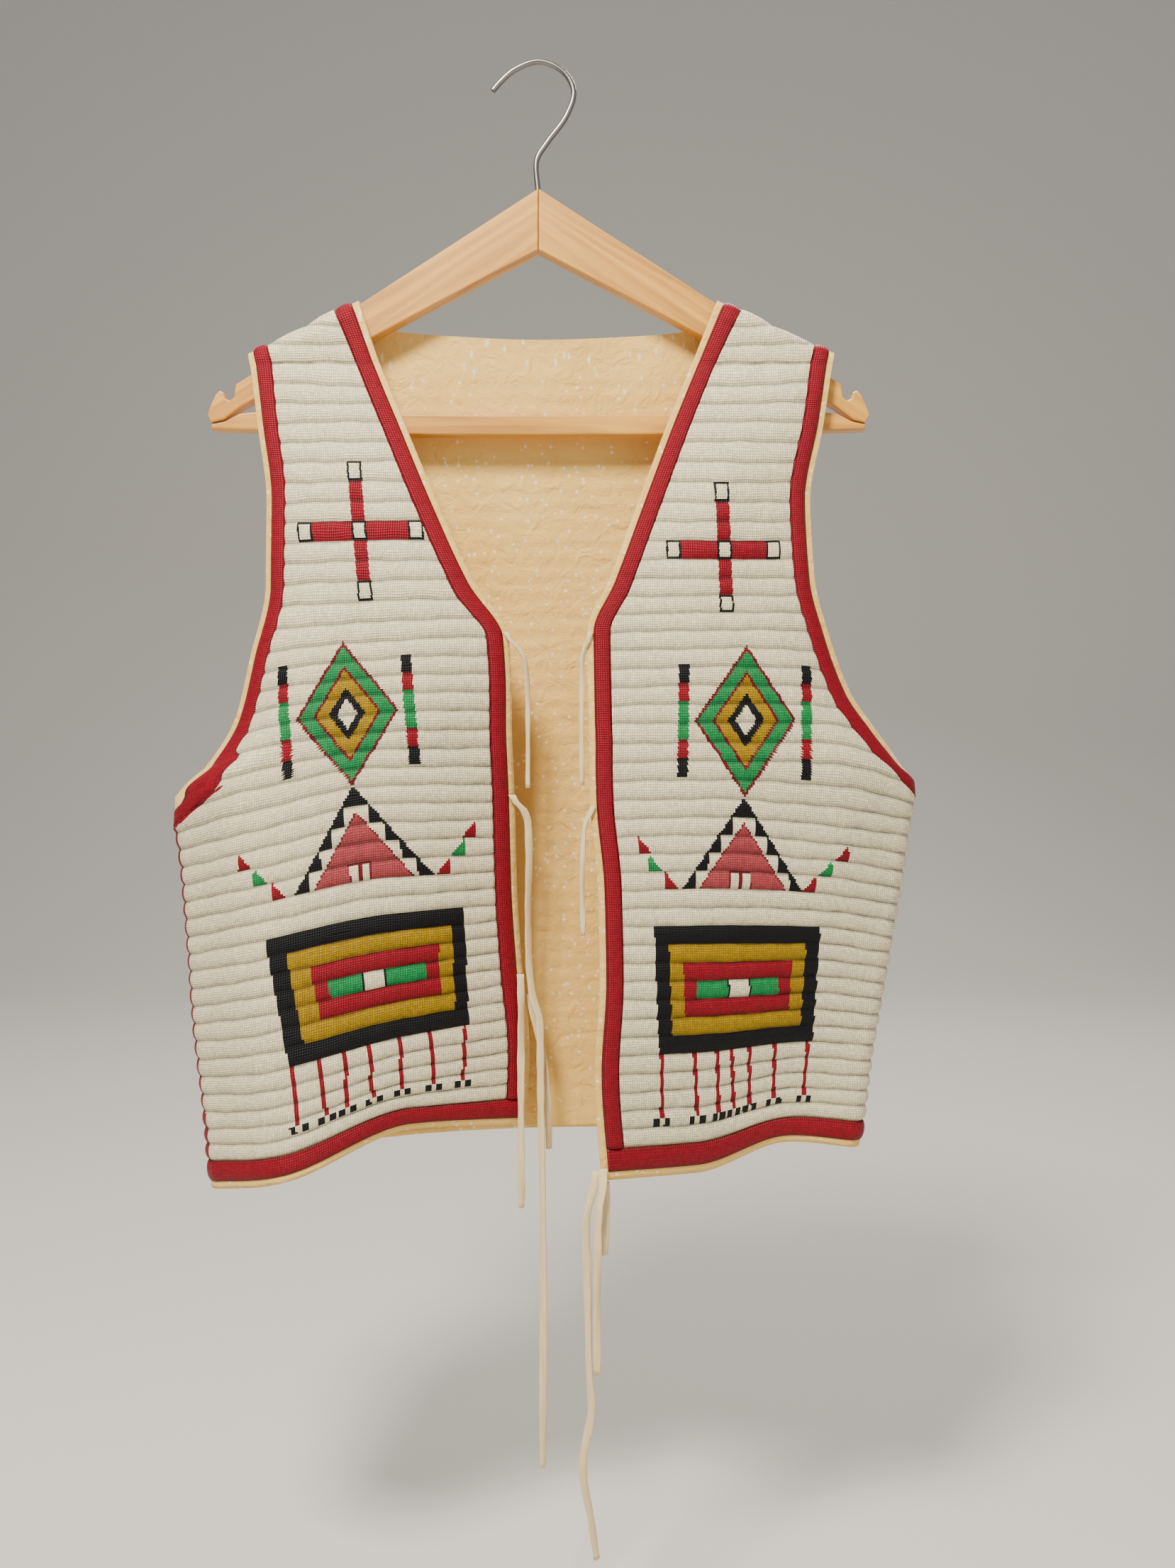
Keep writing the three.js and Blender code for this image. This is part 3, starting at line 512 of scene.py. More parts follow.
@dataclass(frozen=True)
class TannedHide:
    """Brain-tanned hide: a soft napped face, uneven cream with darker drifts, needle marks in lane rows."""

    light: str = "#F5D07C"
    dark: str = "#D9A94E"
    needle: str = "#FFF6D8"

    def make(self) -> bpy.types.Material:
        """Build the hide material. Its UV map counts beads across and down.

        Returns:
            The material.
        """
        graph = Graph("tanned_hide")
        place = graph.place()
        sheet = graph.add("UVMap", {}, uv_map="beads")
        base = graph.blend(self.dark, self.light, graph.noise(place, 14.0, 5.0))
        stitches = graph.add("TexVoronoi", {"Vector": sheet, "Scale": 0.24})
        colour = graph.blend(base, self.needle, graph.remap(stitches, 0.6, 0.0, 0.1, 0.24))
        down = graph.add("SeparateXYZ", {0: sheet}, 1)
        ridge = graph.math("COSINE", graph.math("MULTIPLY", down, 2 * math.pi / BEADS_PER_LANE))
        height = graph.math("MULTIPLY_ADD", ridge, 0.35, graph.noise(place, 900.0, 3.0))
        nap = {"Normal": graph.bump(height, 0.5, 0.0009)}
        crumple = graph.bump(graph.noise(place, 75.0, 2.0, 1.2), 0.6, 0.003, nap)
        return graph.finish({"Base Color": colour, "Normal": crumple, "Roughness": 0.92,
                             "Sheen Weight": 0.25})


@dataclass(frozen=True)
class HideThong:
    """Cut hide thong: matt, a little uneven in tone, drawn out in fine grain."""

    light: str = "#F0DEB4"
    dark: str = "#D2B681"

    def make(self) -> bpy.types.Material:
        """Build the thong material.

        Returns:
            The material.
        """
        graph = Graph("hide_thong")
        grain = graph.noise(graph.add("Mapping", {0: graph.place(), "Scale": (1.0, 1.0, 0.12)}), 420.0, 4.0)
        return graph.finish({"Base Color": graph.blend(self.dark, self.light, grain),
                             "Normal": graph.bump(grain, 0.4, 0.0004), "Roughness": 0.85})


@dataclass(frozen=True)
class VarnishedBeech:
    """Pale varnished wood: long fine grain with darker growth lines under a thin satin varnish."""

    turn: float
    light: str = "#E3A644"
    dark: str = "#B87D2C"

    def make(self) -> bpy.types.Material:
        """Build the wood material with its grain along the piece.

        Returns:
            The material.
        """
        graph = Graph("varnished_beech")
        turned = graph.add("Mapping", {0: graph.place(), "Rotation": (0, self.turn, 0)},
                           vector_type="TEXTURE")
        along = graph.add("Mapping", {0: turned, "Scale": (0.05, 1.0, 1.0)})
        growth = graph.remap(graph.noise(along, 160.0, 6.0, 0.6), 0.0, 1.0, 0.35, 0.68)
        pores = graph.bump(graph.noise(along, 1500.0, 2.0), 0.15, 0.0003)
        return graph.finish({"Base Color": graph.blend(self.light, self.dark, growth), "Normal": pores,
                             "Roughness": 0.42, "Coat Weight": 0.3})


@dataclass(frozen=True)
class BrightWire:
    """Drawn and plated steel wire: a bright metal with faint draw marks."""

    colour: str = "#8A8782"

    def make(self) -> bpy.types.Material:
        """Build the wire material.

        Returns:
            The material.
        """
        graph = Graph("plated_steel_wire")
        marks = graph.remap(graph.noise(graph.place(), 160.0, 1.0), 0.28, 0.4)
        return graph.finish({"Base Color": linear(self.colour), "Metallic": 1.0, "Roughness": marks})


@dataclass(frozen=True)
class Chart:
    """The colours of one front's beadwork, charted in lanes down and millimetres either side of an axis."""

    cross_lane: int
    cross_axis: tuple[float, float]
    cross_half: float
    lozenge_lane: float
    lozenge_axis: tuple[float, float]
    tipi_lane: int
    tipi_axis: tuple[float, float]
    tipi_half: float
    flags_left: tuple[float, float, float]
    flags_right: tuple[float, float, float]
    box_lane: int
    box_axis: tuple[float, float]
    box_half: tuple[float, float]
    bands_left: tuple[float, float, float]
    bands_right: tuple[float, float, float]
    pendant_tops: tuple[float, ...]
    pendant_feet: tuple[float, ...]
    pendant_end: float
    side_line: float = 0.0

    WHITE = "#F8ECC6"
    RED = "#90001C"
    DEEP_RED = "#72001A"
    BLACK = "#04040A"
    GOLD = "#A58200"
    GREEN = "#138A48"
    ROSE = "#A84248"

    CROSS_LANES = 7
    BAR_HALF = 4.4
    SQUARE_HALF = 4.9
    SQUARE_CORE = 3.4
    SQUARE_INSET = 4.7
    LOZENGE_LANES = 8
    LOZENGE_HALF = 33
    LOZENGE_RINGS = ((1.0, DEEP_RED), (0.93, GREEN), (0.66, DEEP_RED), (0.6, GOLD), (0.36, BLACK),
                     (0.2, WHITE))
    LADDER = (BLACK, RED, GREEN, GREEN, RED, BLACK)
    LADDER_AWAY = 40
    TRIANGLE_LANES = 5
    DOOR_HALF = 7.0
    BOX_LANES = 7
    BOX_CORE = ((7.6, BLACK), (6.4, WHITE))

    def paint(self, lane: Array, x: Array) -> Array:
        """Colour every bead.

        Args:
            lane: lane position of each bead.
            x: its x in millimetres.

        Returns:
            Linear colours, one for each bead.
        """
        colours = np.empty((*lane.shape, 4))
        colours[:] = linear(self.WHITE)
        for figure in (self.cross, self.lozenge, self.triangle, self.flags, self.box, self.pendants):
            figure(colours, lane, x)
        return colours

    def cross(self, colours: Array, lane: Array, x: Array) -> None:
        """A red cross with an outlined white square at its middle and at each end."""
        t = (lane - self.cross_lane) / self.CROSS_LANES
        d = x - mix(*self.cross_axis, t)
        row = np.floor(lane - self.cross_lane)
        part = lane - self.cross_lane - row
        last = self.CROSS_LANES - 1
        middle = last // 2
        upright = (np.abs(d) < self.BAR_HALF) & (row >= 0) & (row <= last)
        beam = (np.abs(d) < self.cross_half) & (row == middle)
        colours[upright | beam] = linear(self.RED)
        end = self.cross_half - self.SQUARE_INSET
        for square_row, centre in ((0, 0.0), (middle, 0.0), (last, 0.0), (middle, -end), (middle, end)):
            inside = (row == square_row) & (np.abs(d - centre) < self.SQUARE_HALF)
            core = inside & (np.abs(d - centre) < self.SQUARE_CORE) & (part > 0.13) & (part < 0.87)
            colours[inside] = linear(self.BLACK)
            colours[core] = linear(self.WHITE)

    def lozenge(self, colours: Array, lane: Array, x: Array) -> None:
        """A stepped lozenge of nested colours between two ladders of small squares."""
        half = self.LOZENGE_LANES / 2
        t = (lane - self.lozenge_lane) / self.LOZENGE_LANES
        d = x - mix(*self.lozenge_axis, t)
        middle = self.lozenge_lane + half
        reach = np.abs(d) / self.LOZENGE_HALF + np.abs(lane - middle) / half
        for limit, tone in self.LOZENGE_RINGS:
            colours[reach < limit] = linear(tone)
        row = np.floor(lane - middle + len(self.LADDER) / 2)
        ladder = np.abs(np.abs(d) - self.LADDER_AWAY) < self.SQUARE_CORE
        for step, tone in enumerate(self.LADDER):
            colours[ladder & (row == step)] = linear(tone)

    def triangle(self, colours: Array, lane: Array, x: Array) -> None:
        """A rose triangle with stepped black and white teeth up its sides and a small doorway."""
        t = (lane - self.tipi_lane) / self.TRIANGLE_LANES
        d = x - mix(*self.tipi_axis, t)
        slope = self.tipi_half / self.TRIANGLE_LANES
        row = np.floor(lane - self.tipi_lane)
        part = lane - self.tipi_lane - row
        edge = slope * (row + part)
        from_door = np.abs(d + 1.9)
        d = np.abs(d)
        inside = (row >= 0) & (row < self.TRIANGLE_LANES) & (d < edge + 0.9)
        colours[inside] = linear(self.BLACK)
        below = inside & (row > 0)
        colours[below & (d < slope * row - 0.6)] = linear(self.WHITE)
        from_rose = d - edge + slope * 1.55
        colours[below & (from_rose < 2.2)] = linear(self.DEEP_RED)
        colours[below & (from_rose < 1.2)] = linear(self.ROSE)
        door = (row == self.TRIANGLE_LANES - 1) & (part > 0.06) & (from_door < self.DOOR_HALF)
        colours[door] = linear(self.DEEP_RED)
        colours[door & (np.abs(from_door - 3.7) < 2.3) & (part > 0.12)] = linear(self.WHITE)

    def flags(self, colours: Array, lane: Array, x: Array) -> None:
        """A string of three small triangles stepping down to each foot of the big one."""
        for i, tone in enumerate((self.RED, self.GREEN, self.RED)):
            row = self.tipi_lane + 2 + i
            part = lane - row
            on_row = (part >= 0) & (part < 1)
            axis = mix(*self.tipi_axis, (2.5 + i) / self.TRIANGLE_LANES)
            left = x - axis - self.flags_left[i]
            right = axis + self.flags_right[i] - x
            for side in (left, right):
                colours[on_row & (side > 0) & (side < part * 9)] = linear(tone)

    def box(self, colours: Array, lane: Array, x: Array) -> None:
        """Nested rectangles of black, gold and red round one green and white lane."""
        t = (lane - self.box_lane) / self.BOX_LANES
        d = x - mix(*self.box_axis, t)
        half = mix(*self.box_half, t)
        row = np.floor(lane - self.box_lane)
        ring = np.minimum(row, self.BOX_LANES - 1 - row)
        start, end = -half, half
        for i, tone in enumerate((self.BLACK, self.GOLD, self.RED)):
            colours[(ring >= i) & (d > start) & (d < end)] = linear(tone)
            start = start + self.bands_left[i]
            end = end - self.bands_right[i]
        core = (ring == 3) & (d > start) & (d < end)
        colours[core] = linear(self.GREEN)
        for reach, tone in self.BOX_CORE:
            colours[core & (np.abs(d - 1) < reach)] = linear(tone)

    def pendants(self, colours: Array, lane: Array, x: Array) -> None:
        """Seven fine lines under the box, each ending in a pair of small black squares."""
        first = self.box_lane + self.BOX_LANES
        t = (lane - first) / (self.pendant_end - first)
        foot = (lane >= self.pendant_end - 0.06) & (lane < self.pendant_end + 0.5)
        feet = np.array(self.pendant_feet)
        for i, top in enumerate(self.pendant_tops):
            d = x - mix(top, feet[i], t)
            room = float(np.min(np.abs(np.delete(feet, i) - feet[i])))
            apart, half = min(3.4, 0.26 * room), min(1.9, 0.17 * room)
            colours[(t >= 0) & (t < 1) & (np.abs(d) < 1.3)] = linear(self.RED)
            colours[foot & (np.abs(np.abs(d) - apart) < half)] = linear(self.BLACK)


LEFT_CHART = Chart(cross_lane=6, cross_axis=(-120.7, -110.0), cross_half=40.6, lozenge_lane=14.9,
                   lozenge_axis=(-124.5, -117.4), tipi_lane=23, tipi_axis=(-117.2, -110.2), tipi_half=42.5,
                   flags_left=(-75.5, -66.8, -56.8), flags_right=(72.3, 64.0, 53.5), box_lane=30,
                   box_axis=(-110.4, -100.6), box_half=(61.2, 54.6), bands_left=(11.0, 12.2, 8.4),
                   bands_right=(8.2, 8.4, 8.2), pendant_end=40.4, side_line=3.4,
                   pendant_tops=(-153.0, -137.6, -122.3, -107.7, -88.8, -70.1, -48.6),
                   pendant_feet=(-148.6, -132.6, -120.3, -105.5, -87.9, -68.6, -49.8))
RIGHT_CHART = Chart(cross_lane=7, cross_axis=(121.2, 123.4), cross_half=37.6, lozenge_lane=15.9,
                    lozenge_axis=(136.0, 134.0), tipi_lane=24, tipi_axis=(133.7, 133.0), tipi_half=38.5,
                    flags_left=(-67.6, -60.8, -50.3), flags_right=(70.0, 59.0, 48.0), box_lane=31,
                    box_axis=(130.2, 129.7), box_half=(54.6, 51.4), bands_left=(9.2, 8.6, 8.2),
                    bands_right=(9.2, 8.6, 8.2), pendant_end=41.5,
                    pendant_tops=(80.1, 101.7, 116.7, 126.2, 138.1, 155.3, 178.0),
                    pendant_feet=(80.0, 103.5, 117.6, 127.8, 138.5, 155.0, 175.6))


@dataclass
class Shell:
    """A closed shell: a fine outer face, a plainer inner face with the same columns, and a rim between."""

    name: str
    outer: Array
    inner: Array
    uv: Array
    keep: int
    colours: Array | None = None
    plain: str = Chart.WHITE

    def faces(self) -> tuple[list, list]:
        """List the faces.

        Returns:
            The outer face's quads, then all other faces.
        """
        rows, width = self.outer.shape[:2]
        kept = sorted({*range(0, rows, self.keep), rows - 1})
        base = rows * width
        index = np.arange(rows * width).reshape(rows, width)
        corner_grids = [index[:-1, :-1], index[:-1, 1:], index[1:, 1:], index[1:, :-1]]
        quads = np.stack(corner_grids, axis=-1).reshape(-1, 4)
        rest = []
        for place, (start, end) in enumerate(zip(kept, kept[1:])):
            upper = base + place * width
            lower = upper + width
            half = (start + end) // 2
            rest += [(upper + c, lower + c, lower + c + 1, upper + c + 1) for c in range(width - 1)]
            for row in range(start, end):
                inner = upper if row < half else lower
                rest.append((row * width, (row + 1) * width, inner))
                rest.append(((row + 2) * width - 1, (row + 1) * width - 1, inner + width - 1))
            rest.append((half * width, lower, upper))
            rest.append((half * width + width - 1, upper + width - 1, lower + width - 1))
        last = (rows - 1) * width
        bottom = base + (len(kept) - 1) * width
        rest += [(c + 1, c, base + c, base + c + 1) for c in range(width - 1)]
        rest += [(last + c, last + c + 1, bottom + c + 1, bottom + c) for c in range(width - 1)]
        self.kept = kept
        return quads.tolist(), rest

    def build(self, material: bpy.types.Material, flip: bool) -> bpy.types.Object:
        """Make the mesh.

        Args:
            material: its finish.
            flip: turn every face, where the sheet's columns run the other way.

        Returns:
            The new object.
        """
        quads, rest = self.faces()
        points = np.concatenate([self.outer.reshape(-1, 3), self.inner[self.kept].reshape(-1, 3)]) * MM
        places = np.concatenate([self.uv.reshape(-1, 2), self.uv[self.kept].reshape(-1, 2)])
        faces = quads + rest
        if flip:
            faces = [face[::-1] for face in faces]
        mesh = bpy.data.meshes.new(self.name)
        mesh.from_pydata(points.tolist(), [], faces)
        corners = np.empty(len(mesh.loops), dtype=np.int32)
        mesh.loops.foreach_get("vertex_index", corners)
        mesh.uv_layers.new(name="beads").data.foreach_set("uv", places[corners].astype(np.float32).ravel())
        if self.colours is not None:
            painted = np.tile(np.array(linear(self.plain), dtype=np.float32), (len(corners), 1))
            painted[:len(quads) * 4] = np.repeat(self.colours.reshape(-1, 4), 4, axis=0)
            layer = mesh.color_attributes.new("bead_colour", "FLOAT_COLOR", "CORNER")
            layer.data.foreach_set("color", painted.ravel())
        mesh.shade_smooth()
        mesh.materials.append(material)
        piece = bpy.data.objects.new(self.name, mesh)
        bpy.context.collection.objects.link(piece)
        LOG.info("%s: %d faces", self.name, len(faces))
        return piece


def lane_profile(position: Array) -> Array:
    """Height of a lane of beads over the hide, by its position in lanes."""
    crown = np.abs(np.sin(np.pi * position)) ** 0.6
    return mix(LANE_GROOVE, LANE_CROWN, crown)


def unevenness(x: Array, lane: Array) -> Array:
    """Small hand-made differences in height between neighbouring strings and lanes, in millimetres."""
    row = np.floor(lane)
    slow, fast = np.sin(x * 0.31 + row * 2.1), np.sin(x * 0.83 + row * 4.7)
    return 0.07 * (slow + 0.7 * fast + 0.5 * np.sin(x * 2.3 + row * 1.3))


def wander(x: Array, lane: Array) -> Array:
    """How far a lane line strays from its level, in lanes."""
    row = np.round(lane)
    return 0.022 * (np.sin(x * 0.09 + row * 1.7) + np.sin(x * 0.23 + row * 2.9))


def station_rows(seam_rows: int, end: float, last: Sequence[float] = ()) -> Array:
    """Lane positions of a border's stations, from the shoulder seam down, one for each string of beads."""
    seam = np.linspace(SEAM_START, 1, seam_rows)[:-1]
    return np.concatenate([seam, np.arange(1, end, 1 / BEADS_PER_LANE), last])[:, None]


def hem_lanes(lanes: int) -> Array:
    """Lane positions across a hem's border, from its lower side up."""
    return np.linspace(lanes + HEM_BORDER, lanes + 0.03, ACROSS)[None, :]


def bead_rows(lanes: int) -> Array:
    """Lane positions of the rows of beads, from the shoulder seam to the hem border."""
    step = 1 / BEADS_PER_LANE
    return np.concatenate([np.linspace(0, 1, 26)[:-1], np.arange(1, lanes + step / 2, step)])


def tones(grid: Array, code: str) -> Array:
    """One linear colour for every quad between a grid's points."""
    return np.tile(np.array(linear(code)), (grid.shape[0] - 1, grid.shape[1] - 1, 1))


@dataclass
class Beadwork:
    """The lanes of beads on a sheet, as one closed shell on its hide."""

    sheet: Sheet
    name: str
    material: bpy.types.Material
    u: Array
    v: Array
    level: Array
    chart: Chart | None = None

    def build(self) -> bpy.types.Object:
        """Make the shell of beads. Above the first lane line, level, the lanes are counted by height.

        Returns:
            The new object.
        """
        ground = self.sheet.point(self.u, self.v)
        x = ground[..., 0]
        lane = np.where(self.v < 1, 1 - (ground[..., 2] - self.level) / (LANE_PITCH * 1.05), self.v)
        position = lane + wander(x, lane)
        height = lane_profile(position) + unevenness(x, lane)
        height[-1] = LANE_GROOVE
        uv = np.stack([x / BEAD_WIDTH, position * BEADS_PER_LANE], axis=-1)
        colours = tones(x, Chart.WHITE)
        if self.chart:
            middle_x = (x[:-1, :-1] + x[1:, 1:]) / 2
            middle_lane = (lane[:-1, :-1] + lane[1:, 1:]) / 2
            colours = self.chart.paint(middle_lane, middle_x)
            from_side = np.abs(middle_x - x[:-1, :1])
            colours[(middle_lane > ARMPIT) & (from_side < self.chart.side_line)] = linear(Chart.RED)
        outer, inner = (self.sheet.lifted(self.u, self.v, lift) for lift in (height, 0.05))
        return Shell(self.name, outer, inner, uv, 8, colours).build(self.material, self.sheet.flip)


@dataclass
class BorderLane:
    """One red lane of beads laid along an edge."""

    sheet: Sheet
    name: str
    material: bpy.types.Material
    u: Array
    v: Array

    def build(self) -> bpy.types.Object:
        """Make the lane from a grid of places, stations down the rows and across the lane in the columns.

        Returns:
            The new object.
        """
        across = np.linspace(0, 1, self.u.shape[1])[None, :]
        crown = np.sin(np.pi * across) ** 0.6
        ground = self.sheet.lifted(self.u, self.v, 0)
        steps = np.linalg.norm(np.diff(ground.mean(axis=1), axis=0), axis=-1)
        length = np.concatenate([[0], np.cumsum(steps)])[:, None]
        ripple = 0.08 * np.sin(length * 1.9) + 0.06 * np.sin(length * 0.7 + 1)
        outer = self.sheet.lifted(self.u, self.v, 0.5 + 1.6 * crown + ripple * crown)
        inner = self.sheet.lifted(self.u, self.v, 0.03)
        # The across count also gives the lane's two edges the bead material's painted groove shade.
        uv = np.stack(np.broadcast_arrays(length / BEAD_WIDTH, across * BEADS_PER_LANE), axis=-1)
        shell = Shell(self.name, outer, inner, uv, 4, tones(self.u, Chart.RED), Chart.RED)
        return shell.build(self.material, self.sheet.flip)


def flat_area(sheet: Sheet) -> float:
    """Area of a sheet laid flat, in square metres."""
    u, v = np.meshgrid(np.linspace(0, 1, 40), np.linspace(0, sheet.lanes + HEM, 90))
    p = sheet.point(u, v)
    along = p[:-1, 1:] - p[:-1, :-1]
    down = p[1:, :-1] - p[:-1, :-1]
    return float(np.linalg.norm(np.cross(along, down), axis=-1).sum()) * MM * MM


def dress(piece: bpy.types.Object, slot: str) -> None:
    """Tie a piece to the body."""
    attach(piece, ROOT)


@dataclass
class Panel:
    """One panel of the vest: its hide, its lanes of beads and the border lanes along its edges."""

    sheet: Sheet
    hide: bpy.types.Material
    beads: bpy.types.Material

    def hide_rows(self, seam_rows: Sequence[float]) -> Array:
        """Lane positions of the hide's rows, from those at the shoulder seam to the hem's edge."""
        lanes = self.sheet.lanes
        hem = [lanes + 0.7, lanes + HEM_BORDER, lanes + 1.5, lanes + HEM]
        return np.concatenate([seam_rows, np.arange(1, lanes + 0.1, 0.5), hem])[:, None]

    def hide_shell(self, name: str, u: Array, v: Array) -> bpy.types.Object:
        """Make the hide under the beads.

        Args:
            name: the new object's name.
            u: places across.
            v: lane positions.

        Returns:
            The new object.
        """
        u, v = np.broadcast_arrays(u, v)
        inner = self.sheet.point(u, v)
        uv = np.stack([inner[..., 0] / BEAD_WIDTH, v * BEADS_PER_LANE], axis=-1)
        return Shell(name, self.sheet.lifted(u, v, 0), inner, uv, 1).build(self.hide, self.sheet.flip)

    def border(self, name: str, u: Array, v: Array) -> bpy.types.Object:
        """One border lane over a grid of places."""
        return BorderLane(self.sheet, f"lane_{name}", self.beads, *np.broadcast_arrays(u, v)).build()

    def declare(self, pieces: list[bpy.types.Object], nodes: Sequence[str], flat: tuple[float, float],
                arms: Sequence[str]) -> None:
        """Dress the pieces and say what they stand for.

        Args:
            pieces: the hide, the lanes of beads and the borders.
            nodes: the plain solids that the hide and the borders replace.
            flat: width and height of the blank that the hide is cut from, in metres; not used.
            arms: the sides whose hanger arms hold the hide; not used.
        """
        hide, lanes, *borders = pieces
        for piece in pieces:
            dress(piece, "border" if piece in borders else "beadwork")
        for piece, node in zip((hide, *borders), nodes):
            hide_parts(node)
        round(flat_area(self.sheet), 3)
        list(borders)


@dataclass
class FrontPanel(Panel):
    """One front, with its charted beadwork and its three border lanes."""

    chart: Chart
    columns: int = 150

    @property
    def side(self) -> str:
        """The side's name."""
        return self.sheet.side.value

    def bead_offset(self, v: Array) -> Array:
        """Where the white lanes start, in from the outer edge: past the border, or at the side seam."""
        return mix(FIELD_EDGE, SEAM_EDGE, np.clip((v - ARMPIT) / BORDER_REACH, 0, 1))

    def armhole_inner(self, v: Array) -> Array:
        """Outer limit of the armhole's border lane, in from the edge."""
        return mix(MARGIN, SEAM_EDGE, np.clip((v - ARMPIT) / 0.45, 0, 1))

    def build(self) -> None:
        """Build and dress the front."""
        near = np.linspace(0, 1, 40) ** 1.6 * 0.5
        far = 1 - (np.linspace(0, 1, 30)[:-1] * 0.5)[::-1]
        rows = self.hide_rows([0, 0.01, 0.03, 0.07, 0.13, 0.25, 0.4, 0.6, 0.8])
        hide = self.hide_shell(f"hide_front_{self.side}", np.unique(np.round([*near, *far], 5)), rows)
        pieces = [hide, self.lanes(), self.front_border(), self.armhole_border(), self.hem_border()]
        edges = [f"border_{edge}_{self.side}" for edge in ("front", "armhole", "hem")]
        self.declare(pieces, [f"front_{self.side}", *edges], (0.24, 0.6), [self.side])

    def lanes(self) -> bpy.types.Object:
        """The charted lanes of beads between the borders.

        Returns:
            The new object.
        """
        v = bead_rows(self.sheet.lanes)[:, None]
        start, end = self.sheet.from_outer(self.bead_offset(v), v), self.sheet.from_front(FIELD_EDGE, v)
        u, v = np.broadcast_arrays(mix(start, end, np.linspace(0, 1, self.columns)[None, :]), v)
        level = self.sheet.point(u[:1], np.ones_like(u[:1]))[..., 2]
        return Beadwork(self.sheet, f"lanes_front_{self.side}", self.beads, u, v, level, self.chart).build()

    def front_border(self) -> bpy.types.Object:
        """The lane down the neck and the front edge."""
        v = station_rows(32, self.sheet.lanes, [self.sheet.lanes + 0.02])
        return self.border(f"front_{self.side}", self.sheet.from_front(ACROSS_BORDER, v), v)

    def armhole_border(self) -> bpy.types.Object:
        """The lane round the armhole."""
        v = station_rows(12, ARMPIT + BORDER_REACH)
        reach = mix(self.armhole_inner(v), self.bead_offset(v), np.linspace(0, 1, ACROSS)[None, :])
        return self.border(f"armhole_{self.side}", self.sheet.from_outer(reach, v), v)

    def hem_border(self) -> bpy.types.Object:
        """The lane along the hem."""
        middle = np.array(self.sheet.lanes + 0.5)
        ends = self.sheet.from_outer(SEAM_EDGE, middle), self.sheet.from_front(MARGIN, middle)
        return self.border(f"hem_{self.side}", np.linspace(*map(float, ends), 150)[:, None],
                           hem_lanes(self.sheet.lanes))


